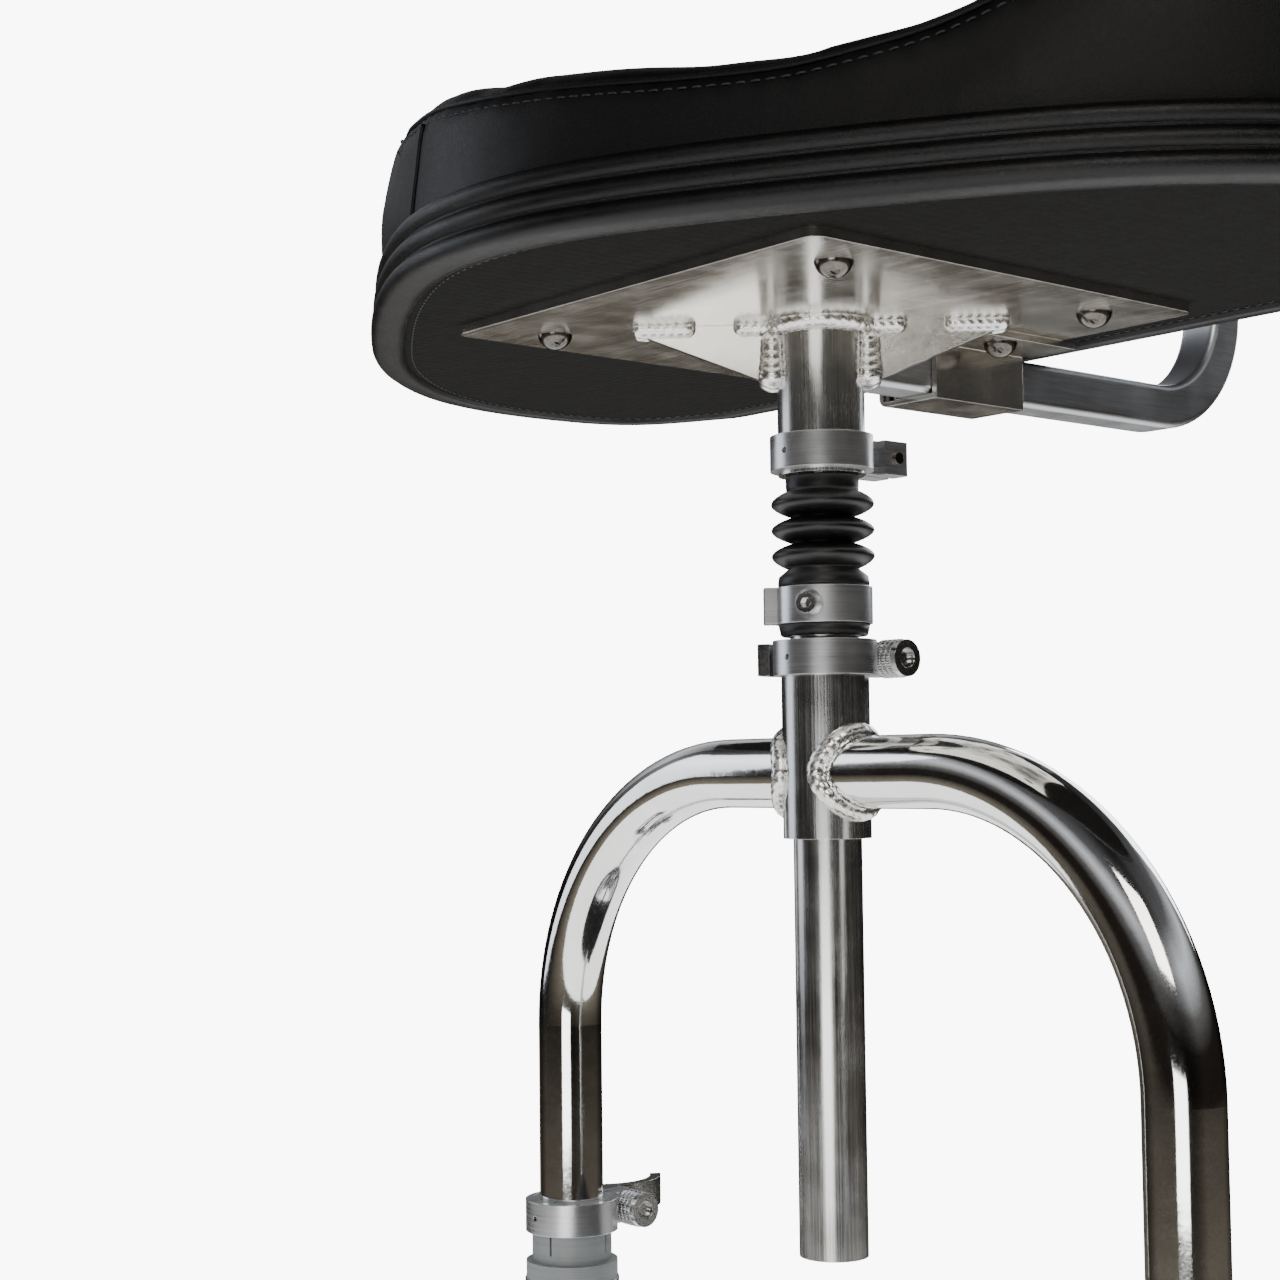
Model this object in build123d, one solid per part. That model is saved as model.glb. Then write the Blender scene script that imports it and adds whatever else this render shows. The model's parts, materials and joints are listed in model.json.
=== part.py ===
"""A seated unicycle: a wide padded seat on a sprung post, an arched tube fork with telescoping legs,
and a spoked balloon-tyre wheel with cranks and pedals.

Frame: millimetres, +Z up, origin where the tyre touches the ground, under the middle of the wheel.
+X runs along the wheel axle, and the rider faces -Y.
"""
from build123d import *
from math import cos, pi, radians, sin
import os

# ---------------------------------------------------------------- driving dimensions
FIT = 0.05                  # radial clearance of a running fit
GAP = 0.3                   # clearance between curved faces of different bodies

TYRE_R = 203.0              # outside radius of the tyre
TYRE_HALF_WIDTH = 51.0
TYRE_WALL = 3.2
TUBE_HALF_WIDTH = 33.0
BEAD_R = 153.0              # radius the tyre's beads sit on
RIM_HALF_WIDTH = 38.0
RIM_WALL = 2.0
RIM_BED_R = 144.5           # outside radius of the rim's well
SPOKE_COUNT = 28
SPOKE_R = 0.9
SPOKE_CROSS_DEG = 51.4      # how far round the hub a spoke starts from its rim hole
NIPPLE_R = 2.0
NIPPLE_LENGTH = 11.0
HUB_BARREL_R = 20.0
HUB_HALF_LENGTH = 50.0
FLANGE_R = 35.0
FLANGE_X = 44.0
FLANGE_THICK = 4.0
SPOKE_CIRCLE_R = 30.0
AXLE_R = 11.0
AXLE_END_R = 9.5

HALF_TRACK = 168.0          # from the middle of the wheel to each fork leg
FORK_TUBE_R = 14.3
FORK_TUBE_WALL = 2.0
ARCH_Z = 613.0              # height of the arch's level centreline
ARCH_BEND_R = 112.0
LEG_END_Z = 296.0           # the foot of each sliding leg, inside the lower leg

CROWN_R = 17.5
CROWN_BOTTOM_Z = 587.0
CROWN_TOP_Z = 664.0
CROWN_SLOT_LENGTH = 34.0

POST_R = 13.6
POST_BORE_R = 11.0
POST_BOTTOM_Z = 424.0

COLLAR_R = 20.75
COLLAR_HEIGHT = 14.0
COLLAR_SLOT = 2.4
RELIEF_HOLE_R = 1.2
CROWN_COLLAR_Z = 651.5      # undersides of the three quick-release collars and the seat collar
LEG_COLLAR_Z = 409.0
SEAT_COLLAR_Z = 733.4

SLEEVE_R = 17.85
SLEEVE_FLANGE_R = 20.6
SLEEVE_FLANGE_HEIGHT = 8.0
SLEEVE_SPIGOT_LENGTH = 48.0
LOWER_LEG_R = 21.2
LOWER_LEG_WALL = 2.2
LOWER_LEG_TOP_Z = 388.0

BEARING_R = 21.0
BEARING_WIDTH = 12.0
INNER_RACE_R = 13.5
OUTER_RACE_BORE_R = 18.0
BALL_COUNT = 12
HOLDER_WIDTH = 20.0         # along the axle
HOLDER_HALF_LENGTH = 34.0
HOLDER_WALL = 8.0
CAP_BOLT_Y = 27.5
CAP_BOLT_R = 3.0

CRANK_LENGTH = 114.0
CRANK_THICK = 13.0
CRANK_CLEARANCE = 3.0       # between a crank and the outside of the lower leg it passes
CRANK_BOSS_R = 17.0
CRANK_ROOT_HALF = 13.5      # half the arm's height at the axle and at the pedal
CRANK_TIP_HALF = 10.5
PEDAL_BOSS_R = 13.0
PEDAL_LENGTH = 92.0
PEDAL_DEPTH = 94.0
PEDAL_HEIGHT = 24.0
PEDAL_BAR = 9.0
PEDAL_AXLE_R = 5.0
PEDAL_THREAD_R = 7.0

SHAFT_R = 10.0
SHAFT_TOP_R = 13.6
SHAFT_FOOT_Z = 604.0
SHAFT_SHOULDER_Z = 724.0
SHOCK_TRAVEL = 20.0
SPRING_WIRE_R = 1.6
SPRING_TURNS = 11
SPRING_FOOT_Z = 480.0

SOCKET_R = 17.5
SOCKET_BOTTOM_Z = 731.6
SOCKET_SLOT_LENGTH = 30.0

PLATE_HALF = 105.0
PLATE_THICK = 4.0
PLATE_BOTTOM_Z = 793.0
PLATE_SCREW_X = 81.0
PLATE_SCREW_Y = 72.0
SCREW_HEAD_R = 7.2
SCREW_HEAD_HEIGHT = 6.0
SCREW_R = 3.0
GUSSET_DEG = 47.0           # the gussets run along the plate's diagonal
GUSSET_THICK = 5.0
GUSSET_REACH = 73.0
GUSSET_DROP = 25.0
BOARD_THICK = 12.0
TRIM_OUT = 8.0              # how far the ridged trim stands out past the board
TRIM_HEIGHT = 26.0
TRIM_LIP = 2.0              # how far the trim hangs below the board
SEAT_SIDE_HEIGHT = 108.0    # cushion top above the plate at the sides
SEAT_DIP = 46.0             # how much lower the middle of the cushion is

BAR = 20.0                  # square backrest bar
BAR_WALL = 2.0
BAR_CORNER_R = 3.0
BAR_FRONT_Y = 23.0
BAR_BEND_R = 52.0
BAR_UPRIGHT_Y = 262.5
BAR_TOP_Z = 1092.0
BAR_PLAY = 0.2
RECEIVER_FRONT_Y = 54.5
RECEIVER_BACK_Y = 109.0
RECEIVER_WALL = 2.4
RECEIVER_THICK_SIDE = 10.0
RECEIVER_FLANGE_HALF = 38.0
RECEIVER_FLANGE_THICK = 3.0
RECEIVER_SCREW_X = 28.0
RECEIVER_SCREW_Y = 77.0
CLAMP_SCREW_R = 1.7
CHAMBER_FLOOR = -0.4        # the clamp screws' chamber, from the underside of the bar
CHAMBER_HEIGHT = 8.0
BACKREST_WIDTH = 196.0
BACKREST_HEIGHT = 136.0
BACKREST_Z = 1028.0
BACKREST_BOARD = 8.0
BACKREST_PAD = 36.0

# ---------------------------------------------------------------- worked out from them
AXLE_Z = TYRE_R
BAR_TOP = PLATE_BOTTOM_Z - RECEIVER_FLANGE_THICK - BAR_PLAY
BAR_MID_Z = BAR_TOP - BAR / 2
BOARD_BOTTOM_Z = PLATE_BOTTOM_Z + PLATE_THICK
BOARD_TOP_Z = BOARD_BOTTOM_Z + BOARD_THICK
CRANK_INNER_X = HALF_TRACK + LOWER_LEG_R + CRANK_CLEARANCE
LOWER_LEG_BOTTOM_Z = AXLE_Z + BEARING_R + HOLDER_WALL
SLEEVE_TOP_Z = LEG_COLLAR_Z + COLLAR_HEIGHT
SIDES = (("left", -1), ("right", 1))


def save(name, *solids):
    """Write one node from one or more separate solids."""
    export_step(solids[0] if len(solids) == 1 else Compound(children=list(solids)), f"parts/{name}.step")


def rod(radius, start, end):
    """A round bar between two points."""
    run = Vector(end) - Vector(start)
    return Solid.make_cylinder(radius, run.length, Plane(origin=start, z_dir=run))


def tube(outer, inner, low, high, x=0.0, y=0.0):
    """An upright tube."""
    return rod(outer, (x, y, low), (x, y, high)) - rod(inner, (x, y, low - 1), (x, y, high + 1))


def block(x0, x1, y0, y1, z0, z1):
    """A box between two corners."""
    return Pos((x0 + x1) / 2, (y0 + y1) / 2, (z0 + z1) / 2) * Box(x1 - x0, y1 - y0, z1 - z0)


def spun_about_axle(points):
    """A ring about the wheel's axle, from (x, radius) corners."""
    section = make_face(Polyline(*[(x, 0, AXLE_Z + r) for x, r in points], close=True))
    return revolve(section, Axis((0, 0, AXLE_Z), (1, 0, 0)), 360)


# ---------------------------------------------------------------- fork
def fork_tube(side):
    """One half of the arch: level out of the crown, round the bend and down to the sliding foot."""
    bend_x = HALF_TRACK - ARCH_BEND_R
    bend_z = ARCH_Z - ARCH_BEND_R
    bore = FORK_TUBE_R - FORK_TUBE_WALL
    level = rod(FORK_TUBE_R, (0, 0, ARCH_Z), (side * bend_x, 0, ARCH_Z))
    level -= rod(bore, (-side, 0, ARCH_Z), (side * (bend_x + 1), 0, ARCH_Z))
    ring = Plane(origin=(side * bend_x, 0, ARCH_Z), x_dir=(0, 1, 0), z_dir=(1, 0, 0)) * (
        Circle(FORK_TUBE_R) - Circle(bore))
    bend = revolve(ring, Axis((side * bend_x, 0, bend_z), (0, side, 0)), 90)
    upright = tube(FORK_TUBE_R, bore, LEG_END_Z, bend_z, side * HALF_TRACK)
    return level + bend + upright - rod(CROWN_R, (0, 0, CROWN_BOTTOM_Z - 50), (0, 0, CROWN_TOP_Z + 50))


def make_fork():
    crown = tube(CROWN_R, POST_R + FIT, CROWN_BOTTOM_Z, CROWN_TOP_Z)
    slot_bottom = CROWN_TOP_Z - CROWN_SLOT_LENGTH
    crown -= block(-COLLAR_SLOT / 2, COLLAR_SLOT / 2, 0, CROWN_R + 2, slot_bottom, CROWN_TOP_Z + 1)
    save("crown_tube", crown)
    for name, side in SIDES:
        save(f"{name}_fork_tube", fork_tube(side))
    plug_r = FORK_TUBE_R - FORK_TUBE_WALL
    plugs = []
    for _, side in SIDES:
        x = side * HALF_TRACK
        plug = rod(plug_r, (x, 0, LEG_END_Z), (x, 0, LEG_END_Z + 12))
        plugs.append(plug + rod(FORK_TUBE_R, (x, 0, LEG_END_Z - 3), (x, 0, LEG_END_Z)))
    save("leg_end_plugs", *plugs)


# ---------------------------------------------------------------- collars and quick releases
QR_EAR = 5.2                # outer faces of the quick-release ears, from the middle of the slot
QR_BOLT_Y = 28.0
QR_EAR_END_Y = 34.5
QR_BOLT_R = 2.5
QR_NUT_R = 7.5
QR_NUT_END_X = 18.6
LEVER_BARREL_R = 6.6
LEVER_PIVOT_X = -(QR_EAR + GAP + LEVER_BARREL_R)
LEVER_PIVOT_Y = QR_BOLT_Y
LEVER_INNER_R = 23.4
LEVER_THICK = 5.0
LEVER_TIP_DEG = 208.0
LEVER_ROOT_DEG = 116.0
EYE_R = 4.6
EYE_HALF_HEIGHT = 2.5
PIVOT_PIN_R = 1.5
LEG_LEVER_OPEN_DEG = 150.0  # the leg levers stand open at rest


def collar(x, bottom, bore):
    """A split clamp ring with two ears at the back and a relief hole at the front."""
    top = bottom + COLLAR_HEIGHT
    ring = rod(COLLAR_R, (x, 0, bottom), (x, 0, top))
    ring += block(x - QR_EAR, x + QR_EAR, COLLAR_R - 6, QR_EAR_END_Y, bottom, top)
    ring -= rod(bore, (x, 0, bottom - 1), (x, 0, top + 1))
    ring -= block(x - COLLAR_SLOT / 2, x + COLLAR_SLOT / 2, 0, QR_EAR_END_Y + 1, bottom - 1, top + 1)
    mid = (bottom + top) / 2
    ring -= rod(QR_BOLT_R + FIT, (x - QR_EAR - 1, QR_BOLT_Y, mid), (x + QR_EAR + 1, QR_BOLT_Y, mid))
    ring -= rod(RELIEF_HOLE_R, (x, -COLLAR_R - 1, mid), (x, -bore + 2, mid))
    return ring


def qr_bolt(x, mid):
    """The clamp's bolt, with the eye that the lever's pin goes through."""
    eye = rod(EYE_R, (x + LEVER_PIVOT_X, LEVER_PIVOT_Y, mid - EYE_HALF_HEIGHT),
              (x + LEVER_PIVOT_X, LEVER_PIVOT_Y, mid + EYE_HALF_HEIGHT))
    bolt = eye + rod(QR_BOLT_R, (x + LEVER_PIVOT_X, QR_BOLT_Y, mid), (x + QR_NUT_END_X - 2, QR_BOLT_Y, mid))
    pin_bore = rod(PIVOT_PIN_R + FIT, (x + LEVER_PIVOT_X, LEVER_PIVOT_Y, mid - 10),
                   (x + LEVER_PIVOT_X, LEVER_PIVOT_Y, mid + 10))
    return bolt - pin_bore


def qr_nut(x, mid):
    """The round nut at the other end of the bolt, with a dished face."""
    nut = rod(QR_NUT_R, (x + QR_EAR + 0.2, QR_BOLT_Y, mid), (x + QR_NUT_END_X, QR_BOLT_Y, mid))
    nut -= rod(QR_BOLT_R, (x, QR_BOLT_Y, mid), (x + QR_NUT_END_X + 1, QR_BOLT_Y, mid))
    return nut - rod(4.0, (x + QR_NUT_END_X - 3, QR_BOLT_Y, mid), (x + QR_NUT_END_X + 1, QR_BOLT_Y, mid))


def qr_lever(x, bottom, opened):
    """The cam lever, closed round the collar's side, or swung open about its pin."""
    low, high = bottom + 0.5, bottom + COLLAR_HEIGHT - 0.5
    mid = bottom + COLLAR_HEIGHT / 2
    reach = 60.0
    ring = rod(LEVER_INNER_R + LEVER_THICK, (x, 0, low), (x, 0, high))
    ring -= rod(LEVER_INNER_R, (x, 0, low - 1), (x, 0, high + 1))
    corners = [(0.0, 0.0)]
    for k in range(5):
        angle = radians(LEVER_ROOT_DEG + (LEVER_TIP_DEG - LEVER_ROOT_DEG) * k / 4)
        corners.append((reach * cos(angle), reach * sin(angle)))
    wedge = extrude(Plane(origin=(x, 0, low)) * make_face(Polyline(*corners, close=True)), high - low)
    px, py = x + LEVER_PIVOT_X, LEVER_PIVOT_Y
    lever = (ring & wedge) + rod(LEVER_BARREL_R, (px, py, low), (px, py, high))
    slot_half = EYE_HALF_HEIGHT + 0.3
    lever -= rod(LEVER_BARREL_R + 2.0, (px, py, mid - slot_half), (px, py, mid + slot_half))
    lever += rod(PIVOT_PIN_R, (px, py, low + 1), (px, py, high - 1))
    turn = Location((px, py, 0), (0, 0, -opened)) * Location((-px, -py, 0))
    return turn * lever


def make_collars():
    save("crown_collar", collar(0, CROWN_COLLAR_Z, CROWN_R))
    crown_mid = CROWN_COLLAR_Z + COLLAR_HEIGHT / 2
    save("crown_quick_release_bolt", qr_bolt(0, crown_mid), qr_nut(0, crown_mid))
    save("crown_quick_release_lever", qr_lever(0, CROWN_COLLAR_Z, 0))
    leg_mid = LEG_COLLAR_Z + COLLAR_HEIGHT / 2
    collars, bolts = [], []
    for name, side in SIDES:
        x = side * HALF_TRACK
        collars.append(collar(x, LEG_COLLAR_Z, SLEEVE_R))
        bolts += [qr_bolt(x, leg_mid), qr_nut(x, leg_mid)]
        save(f"{name}_leg_lever", qr_lever(x, LEG_COLLAR_Z, LEG_LEVER_OPEN_DEG))
    save("leg_collars", *collars)
    save("leg_quick_release_bolts", *bolts)


# ---------------------------------------------------------------- lower legs and wheel bearings
def make_lower_frame():
    legs, sleeves, holders, caps, races, balls, bolts = [], [], [], [], [], [], []
    for _, side in SIDES:
        x = side * HALF_TRACK
        inner = LOWER_LEG_R - LOWER_LEG_WALL
        legs.append(tube(LOWER_LEG_R, inner, LOWER_LEG_BOTTOM_Z, LOWER_LEG_TOP_Z, x))
        flange_top = LOWER_LEG_TOP_Z + SLEEVE_FLANGE_HEIGHT
        sleeve = rod(inner, (x, 0, LOWER_LEG_TOP_Z - SLEEVE_SPIGOT_LENGTH), (x, 0, LOWER_LEG_TOP_Z))
        sleeve += rod(SLEEVE_FLANGE_R, (x, 0, LOWER_LEG_TOP_Z), (x, 0, flange_top))
        sleeve += rod(SLEEVE_R, (x, 0, flange_top), (x, 0, SLEEVE_TOP_Z))
        sleeve -= rod(FORK_TUBE_R + FIT, (x, 0, LOWER_LEG_TOP_Z - SLEEVE_SPIGOT_LENGTH - 1),
                      (x, 0, SLEEVE_TOP_Z + 1))
        for turn in (0, 90):
            cut = block(-SLEEVE_R - 1, SLEEVE_R + 1, -0.5, 0.5, flange_top + 4, SLEEVE_TOP_Z + 1)
            sleeve -= Pos(x, 0, 0) * Rot(0, 0, turn + 20) * cut
        sleeves.append(sleeve)
        holders.append(bearing_holder(x, inner))
        caps.append(bearing_cap(x))
        for y in (-CAP_BOLT_Y, CAP_BOLT_Y):
            cap_foot = AXLE_Z - 14.0
            bolt = rod(CAP_BOLT_R, (x, y, cap_foot), (x, y, AXLE_Z + 16))
            head = rod(CAP_BOLT_R * 1.7, (x, y, cap_foot - 6), (x, y, cap_foot))
            socket = extrude(Plane((x, y, cap_foot - 6)) * RegularPolygon(2.6, 6), 3.5)
            bolts.append(bolt + head - socket)
        low, high = x - BEARING_WIDTH / 2, x + BEARING_WIDTH / 2
        races.append(rod(BEARING_R, (low, 0, AXLE_Z), (high, 0, AXLE_Z))
                     - rod(OUTER_RACE_BORE_R, (low - 1, 0, AXLE_Z), (high + 1, 0, AXLE_Z)))
        ball_r = (OUTER_RACE_BORE_R - INNER_RACE_R) / 2 - FIT
        circle_r = (OUTER_RACE_BORE_R + INNER_RACE_R) / 2
        for k in range(BALL_COUNT):
            angle = 2 * pi * k / BALL_COUNT
            balls.append(Pos(x, circle_r * cos(angle), AXLE_Z + circle_r * sin(angle)) * Sphere(ball_r))
    save("lower_legs", *legs)
    save("leg_sleeves", *sleeves)
    save("bearing_holders", *holders)
    save("bearing_caps", *caps)
    save("bearing_cap_bolts", *bolts)
    save("bearing_outer_races", *races)
    save("bearing_balls", *balls)


def bearing_holder(x, spigot_r):
    """The upper half of the wheel bearing's housing, with a spigot up the lower leg."""
    half = HOLDER_WIDTH / 2
    top = LOWER_LEG_BOTTOM_Z
    body = block(x - half, x + half, -HOLDER_HALF_LENGTH, HOLDER_HALF_LENGTH, AXLE_Z + 0.5, AXLE_Z + 16)
    arch = rod(BEARING_R + HOLDER_WALL, (x - half, 0, AXLE_Z), (x + half, 0, AXLE_Z))
    body += arch & block(x - half, x + half, -60, 60, AXLE_Z + 0.5, AXLE_Z + 60)
    neck = rod(LOWER_LEG_R, (x, 0, AXLE_Z + 18), (x, 0, top))
    body += neck
    body += rod(spigot_r, (x, 0, top), (x, 0, top + 26))
    body -= rod(BEARING_R, (x - 30, 0, AXLE_Z), (x + 30, 0, AXLE_Z))
    for y in (-CAP_BOLT_Y, CAP_BOLT_Y):
        body -= rod(CAP_BOLT_R, (x, y, AXLE_Z), (x, y, AXLE_Z + 16))
    return body


def bearing_cap(x):
    """The lower half of the wheel bearing's housing."""
    half = HOLDER_WIDTH / 2
    low = AXLE_Z - 14
    body = block(x - half, x + half, -HOLDER_HALF_LENGTH, HOLDER_HALF_LENGTH, low, AXLE_Z - 0.5)
    arch = rod(BEARING_R + HOLDER_WALL, (x - half, 0, AXLE_Z), (x + half, 0, AXLE_Z))
    body += arch & block(x - half, x + half, -60, 60, AXLE_Z - 60, AXLE_Z - 0.5)
    for y in (-CAP_BOLT_Y, CAP_BOLT_Y):
        body -= rod(CAP_BOLT_R, (x, y, low - 1), (x, y, AXLE_Z))
        body -= rod(CAP_BOLT_R * 1.7 + 0.3, (x, y, AXLE_Z - 40), (x, y, low))
    return body - rod(BEARING_R, (x - 30, 0, AXLE_Z), (x + 30, 0, AXLE_Z))


# ---------------------------------------------------------------- wheel
def spoke_ends(index):
    """Where one spoke leaves its hub flange and where it meets its nipple at the rim."""
    side = 1 if index % 2 else -1
    leading = 1 if (index // 2) % 2 else -1
    rim_angle = 2 * pi * index / SPOKE_COUNT
    hub_angle = rim_angle + leading * radians(SPOKE_CROSS_DEG)
    stand_off = leading * (FLANGE_THICK / 2 + SPOKE_R + 0.1)
    hub = (side * (FLANGE_X + stand_off), SPOKE_CIRCLE_R * cos(hub_angle), AXLE_Z + SPOKE_CIRCLE_R * sin(hub_angle))
    rim = (side * 9.0, RIM_BED_R * cos(rim_angle), AXLE_Z + RIM_BED_R * sin(rim_angle))
    hub, rim = Vector(hub), Vector(rim)
    flat = Vector(0, rim.Y - hub.Y, rim.Z - hub.Z).normalized()
    bend = hub + flat * (12.0 if leading > 0 else 0.1)
    return side, leading, hub, bend, rim


def make_wheel():
    hub = rod(HUB_BARREL_R, (-HUB_HALF_LENGTH, 0, AXLE_Z), (HUB_HALF_LENGTH, 0, AXLE_Z))
    for side in (-1, 1):
        hub += rod(FLANGE_R, (side * (FLANGE_X - FLANGE_THICK / 2), 0, AXLE_Z),
                   (side * (FLANGE_X + FLANGE_THICK / 2), 0, AXLE_Z))
    hub -= rod(AXLE_R, (-HUB_HALF_LENGTH - 1, 0, AXLE_Z), (HUB_HALF_LENGTH + 1, 0, AXLE_Z))
    spokes, nipples, hub_holes, rim_holes = [], [], [], []
    for index in range(SPOKE_COUNT):
        side, leading, start, bend, end = spoke_ends(index)
        way = (end - bend).normalized()
        split = end + way * (4.0 - NIPPLE_LENGTH)
        far_face = Vector(start.X - side * leading * (FLANGE_THICK + 2.6), start.Y, start.Z)
        spoke = rod(SPOKE_R, bend, split) + Pos(*bend) * Sphere(SPOKE_R) + rod(SPOKE_R, start, bend)
        spokes.append(spoke + Pos(*start) * Sphere(SPOKE_R) + rod(SPOKE_R, start, far_face))
        nipples.append(rod(NIPPLE_R, split, end + way * 4.0))
        hub_holes.append(rod(SPOKE_R + 0.2, (side * 30, start.Y, start.Z), (side * 60, start.Y, start.Z)))
        rim_holes.append(rod(NIPPLE_R + 0.2, split - way * 2, end + way * 8))
    save("hub_shell", hub - hub_holes)
    save("spokes", *spokes)
    save("spoke_nipples", *nipples)

    bead_x = RIM_HALF_WIDTH - RIM_WALL
    outside = [(-RIM_HALF_WIDTH, BEAD_R + 6), (-RIM_HALF_WIDTH, BEAD_R - 4), (-24, RIM_BED_R - 2.5)]
    inside = [(-24, RIM_BED_R), (-29, BEAD_R - 2), (-bead_x, BEAD_R - 1), (-bead_x, BEAD_R + 6)]
    rim = spun_about_axle(outside + [(-x, r) for x, r in reversed(outside)]
                          + [(-x, r) for x, r in reversed(inside)] + inside)
    valve_foot, valve_tip = RIM_BED_R + 3.5, RIM_BED_R - 26
    rim -= rim_holes + [rod(3.4, (0, 0, AXLE_Z + 100), (0, 0, AXLE_Z + RIM_BED_R + 5)).rotate(
        Axis((0, 0, AXLE_Z), (1, 0, 0)), 360 / SPOKE_COUNT / 2)]
    save("rim", rim)
    valve = rod(3.0, (0, 0, AXLE_Z + valve_tip), (0, 0, AXLE_Z + valve_foot))
    valve += rod(4.4, (0, 0, AXLE_Z + valve_tip - 8), (0, 0, AXLE_Z + valve_tip + 4))
    valve = valve.rotate(Axis((0, 0, AXLE_Z), (1, 0, 0)), 360 / SPOKE_COUNT / 2)

    wide, wall = TYRE_HALF_WIDTH, TYRE_WALL
    foot, lip, shoulder = AXLE_Z + BEAD_R, AXLE_Z + BEAD_R + 6.5, AXLE_Z + TYRE_R - 14
    bead_out, bead_in = bead_x - 0.2, bead_x - 5
    outer = Spline((-bead_out, 0, lip), (-wide, 0, lip + 16), (-wide * 0.84, 0, shoulder), (0, 0, AXLE_Z + TYRE_R),
                   (wide * 0.84, 0, shoulder), (wide, 0, lip + 16), (bead_out, 0, lip))
    inner = Spline((bead_in, 0, lip + 3), (wide - wall, 0, lip + 16), (wide * 0.84 - wall, 0, shoulder - wall),
                   (0, 0, AXLE_Z + TYRE_R - wall - 1), (-wide * 0.84 + wall, 0, shoulder - wall),
                   (-wide + wall, 0, lip + 16), (-bead_in, 0, lip + 3))
    right = Polyline((bead_out, 0, lip), (bead_out, 0, foot), (bead_in, 0, foot), (bead_in, 0, lip + 3))
    left = Polyline((-bead_in, 0, lip + 3), (-bead_in, 0, foot), (-bead_out, 0, foot), (-bead_out, 0, lip))
    section = make_face([outer, right, inner, left])
    save("tyre", revolve(section, Axis((0, 0, AXLE_Z), (1, 0, 0)), 360))

    tube_r = (RIM_BED_R + TYRE_R) / 2 - 1.0
    ring = Plane(origin=(0, 0, AXLE_Z + tube_r), x_dir=(1, 0, 0), z_dir=(0, -1, 0)) * (
        Ellipse(TUBE_HALF_WIDTH, 22.0) - Ellipse(TUBE_HALF_WIDTH - 1.5, 20.5))
    save("inner_tube", revolve(ring, Axis((0, 0, AXLE_Z), (1, 0, 0)), 360), valve)

    end_x = CRANK_INNER_X + CRANK_THICK
    axle = rod(AXLE_R, (-CRANK_INNER_X, 0, AXLE_Z), (CRANK_INNER_X, 0, AXLE_Z))
    axle += rod(AXLE_END_R, (-end_x, 0, AXLE_Z), (end_x, 0, AXLE_Z))
    axle -= rod(4.0, (-end_x - 1, 0, AXLE_Z), (-end_x + 20, 0, AXLE_Z))
    axle -= rod(4.0, (end_x + 1, 0, AXLE_Z), (end_x - 20, 0, AXLE_Z))
    save("wheel_axle", axle)
    race_low, race_high = HALF_TRACK - BEARING_WIDTH / 2, HALF_TRACK + BEARING_WIDTH / 2
    spacers, races = [], []
    for _, side in SIDES:
        spacers.append(rod(AXLE_R + 3, (side * HUB_HALF_LENGTH, 0, AXLE_Z), (side * race_low, 0, AXLE_Z))
                       - rod(AXLE_R, (side * (HUB_HALF_LENGTH - 1), 0, AXLE_Z), (side * (race_low + 1), 0, AXLE_Z)))
        races.append(rod(INNER_RACE_R, (side * race_low, 0, AXLE_Z), (side * race_high, 0, AXLE_Z))
                     - rod(AXLE_R, (side * (race_low - 1), 0, AXLE_Z), (side * (race_high + 1), 0, AXLE_Z)))
    save("axle_spacers", *spacers)
    save("bearing_inner_races", *races)


# ---------------------------------------------------------------- cranks and pedals
def make_cranks():
    bolts, axles = [], []
    for name, side in SIDES:
        near, far = side * CRANK_INNER_X, side * (CRANK_INNER_X + CRANK_THICK)
        low, high = min(near, far), max(near, far)
        tip_y = side * CRANK_LENGTH  # the right crank points back and the left one forward
        crank = rod(CRANK_BOSS_R, (near, 0, AXLE_Z), (far, 0, AXLE_Z))
        crank += rod(PEDAL_BOSS_R, (near, tip_y, AXLE_Z), (far, tip_y, AXLE_Z))
        arm = Polyline((0, CRANK_ROOT_HALF), (tip_y, CRANK_TIP_HALF), (tip_y, -CRANK_TIP_HALF),
                       (0, -CRANK_ROOT_HALF), close=True)
        crank += extrude(Plane(origin=(low, 0, AXLE_Z), x_dir=(0, 1, 0), z_dir=(1, 0, 0)) * make_face(arm), high - low)
        crank -= rod(AXLE_END_R, (low - 5, 0, AXLE_Z), (high + 5, 0, AXLE_Z))
        crank -= rod(PEDAL_THREAD_R, (low - 5, tip_y, AXLE_Z), (high + 5, tip_y, AXLE_Z))
        save(f"{name}_crank", crank)
        head = rod(12.0, (far, 0, AXLE_Z), (far + side * 4, 0, AXLE_Z))
        bolts.append(head + rod(4.0, (far - side * 18, 0, AXLE_Z), (far, 0, AXLE_Z)))

        seat_x = far + side * 3
        tip_x = seat_x + side * (PEDAL_LENGTH + 1)
        axle = rod(PEDAL_THREAD_R, (near, tip_y, AXLE_Z), (far, tip_y, AXLE_Z))
        axle += rod(PEDAL_THREAD_R + 1.5, (far, tip_y, AXLE_Z), (seat_x, tip_y, AXLE_Z))
        axle += rod(PEDAL_AXLE_R, (seat_x, tip_y, AXLE_Z), (tip_x - side * 4, tip_y, AXLE_Z))
        axles.append(axle)
        save(f"{name}_pedal", pedal(seat_x + side * 1, side, tip_y))
    save("crank_bolts", *bolts)
    save("pedal_axles", *axles)


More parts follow.
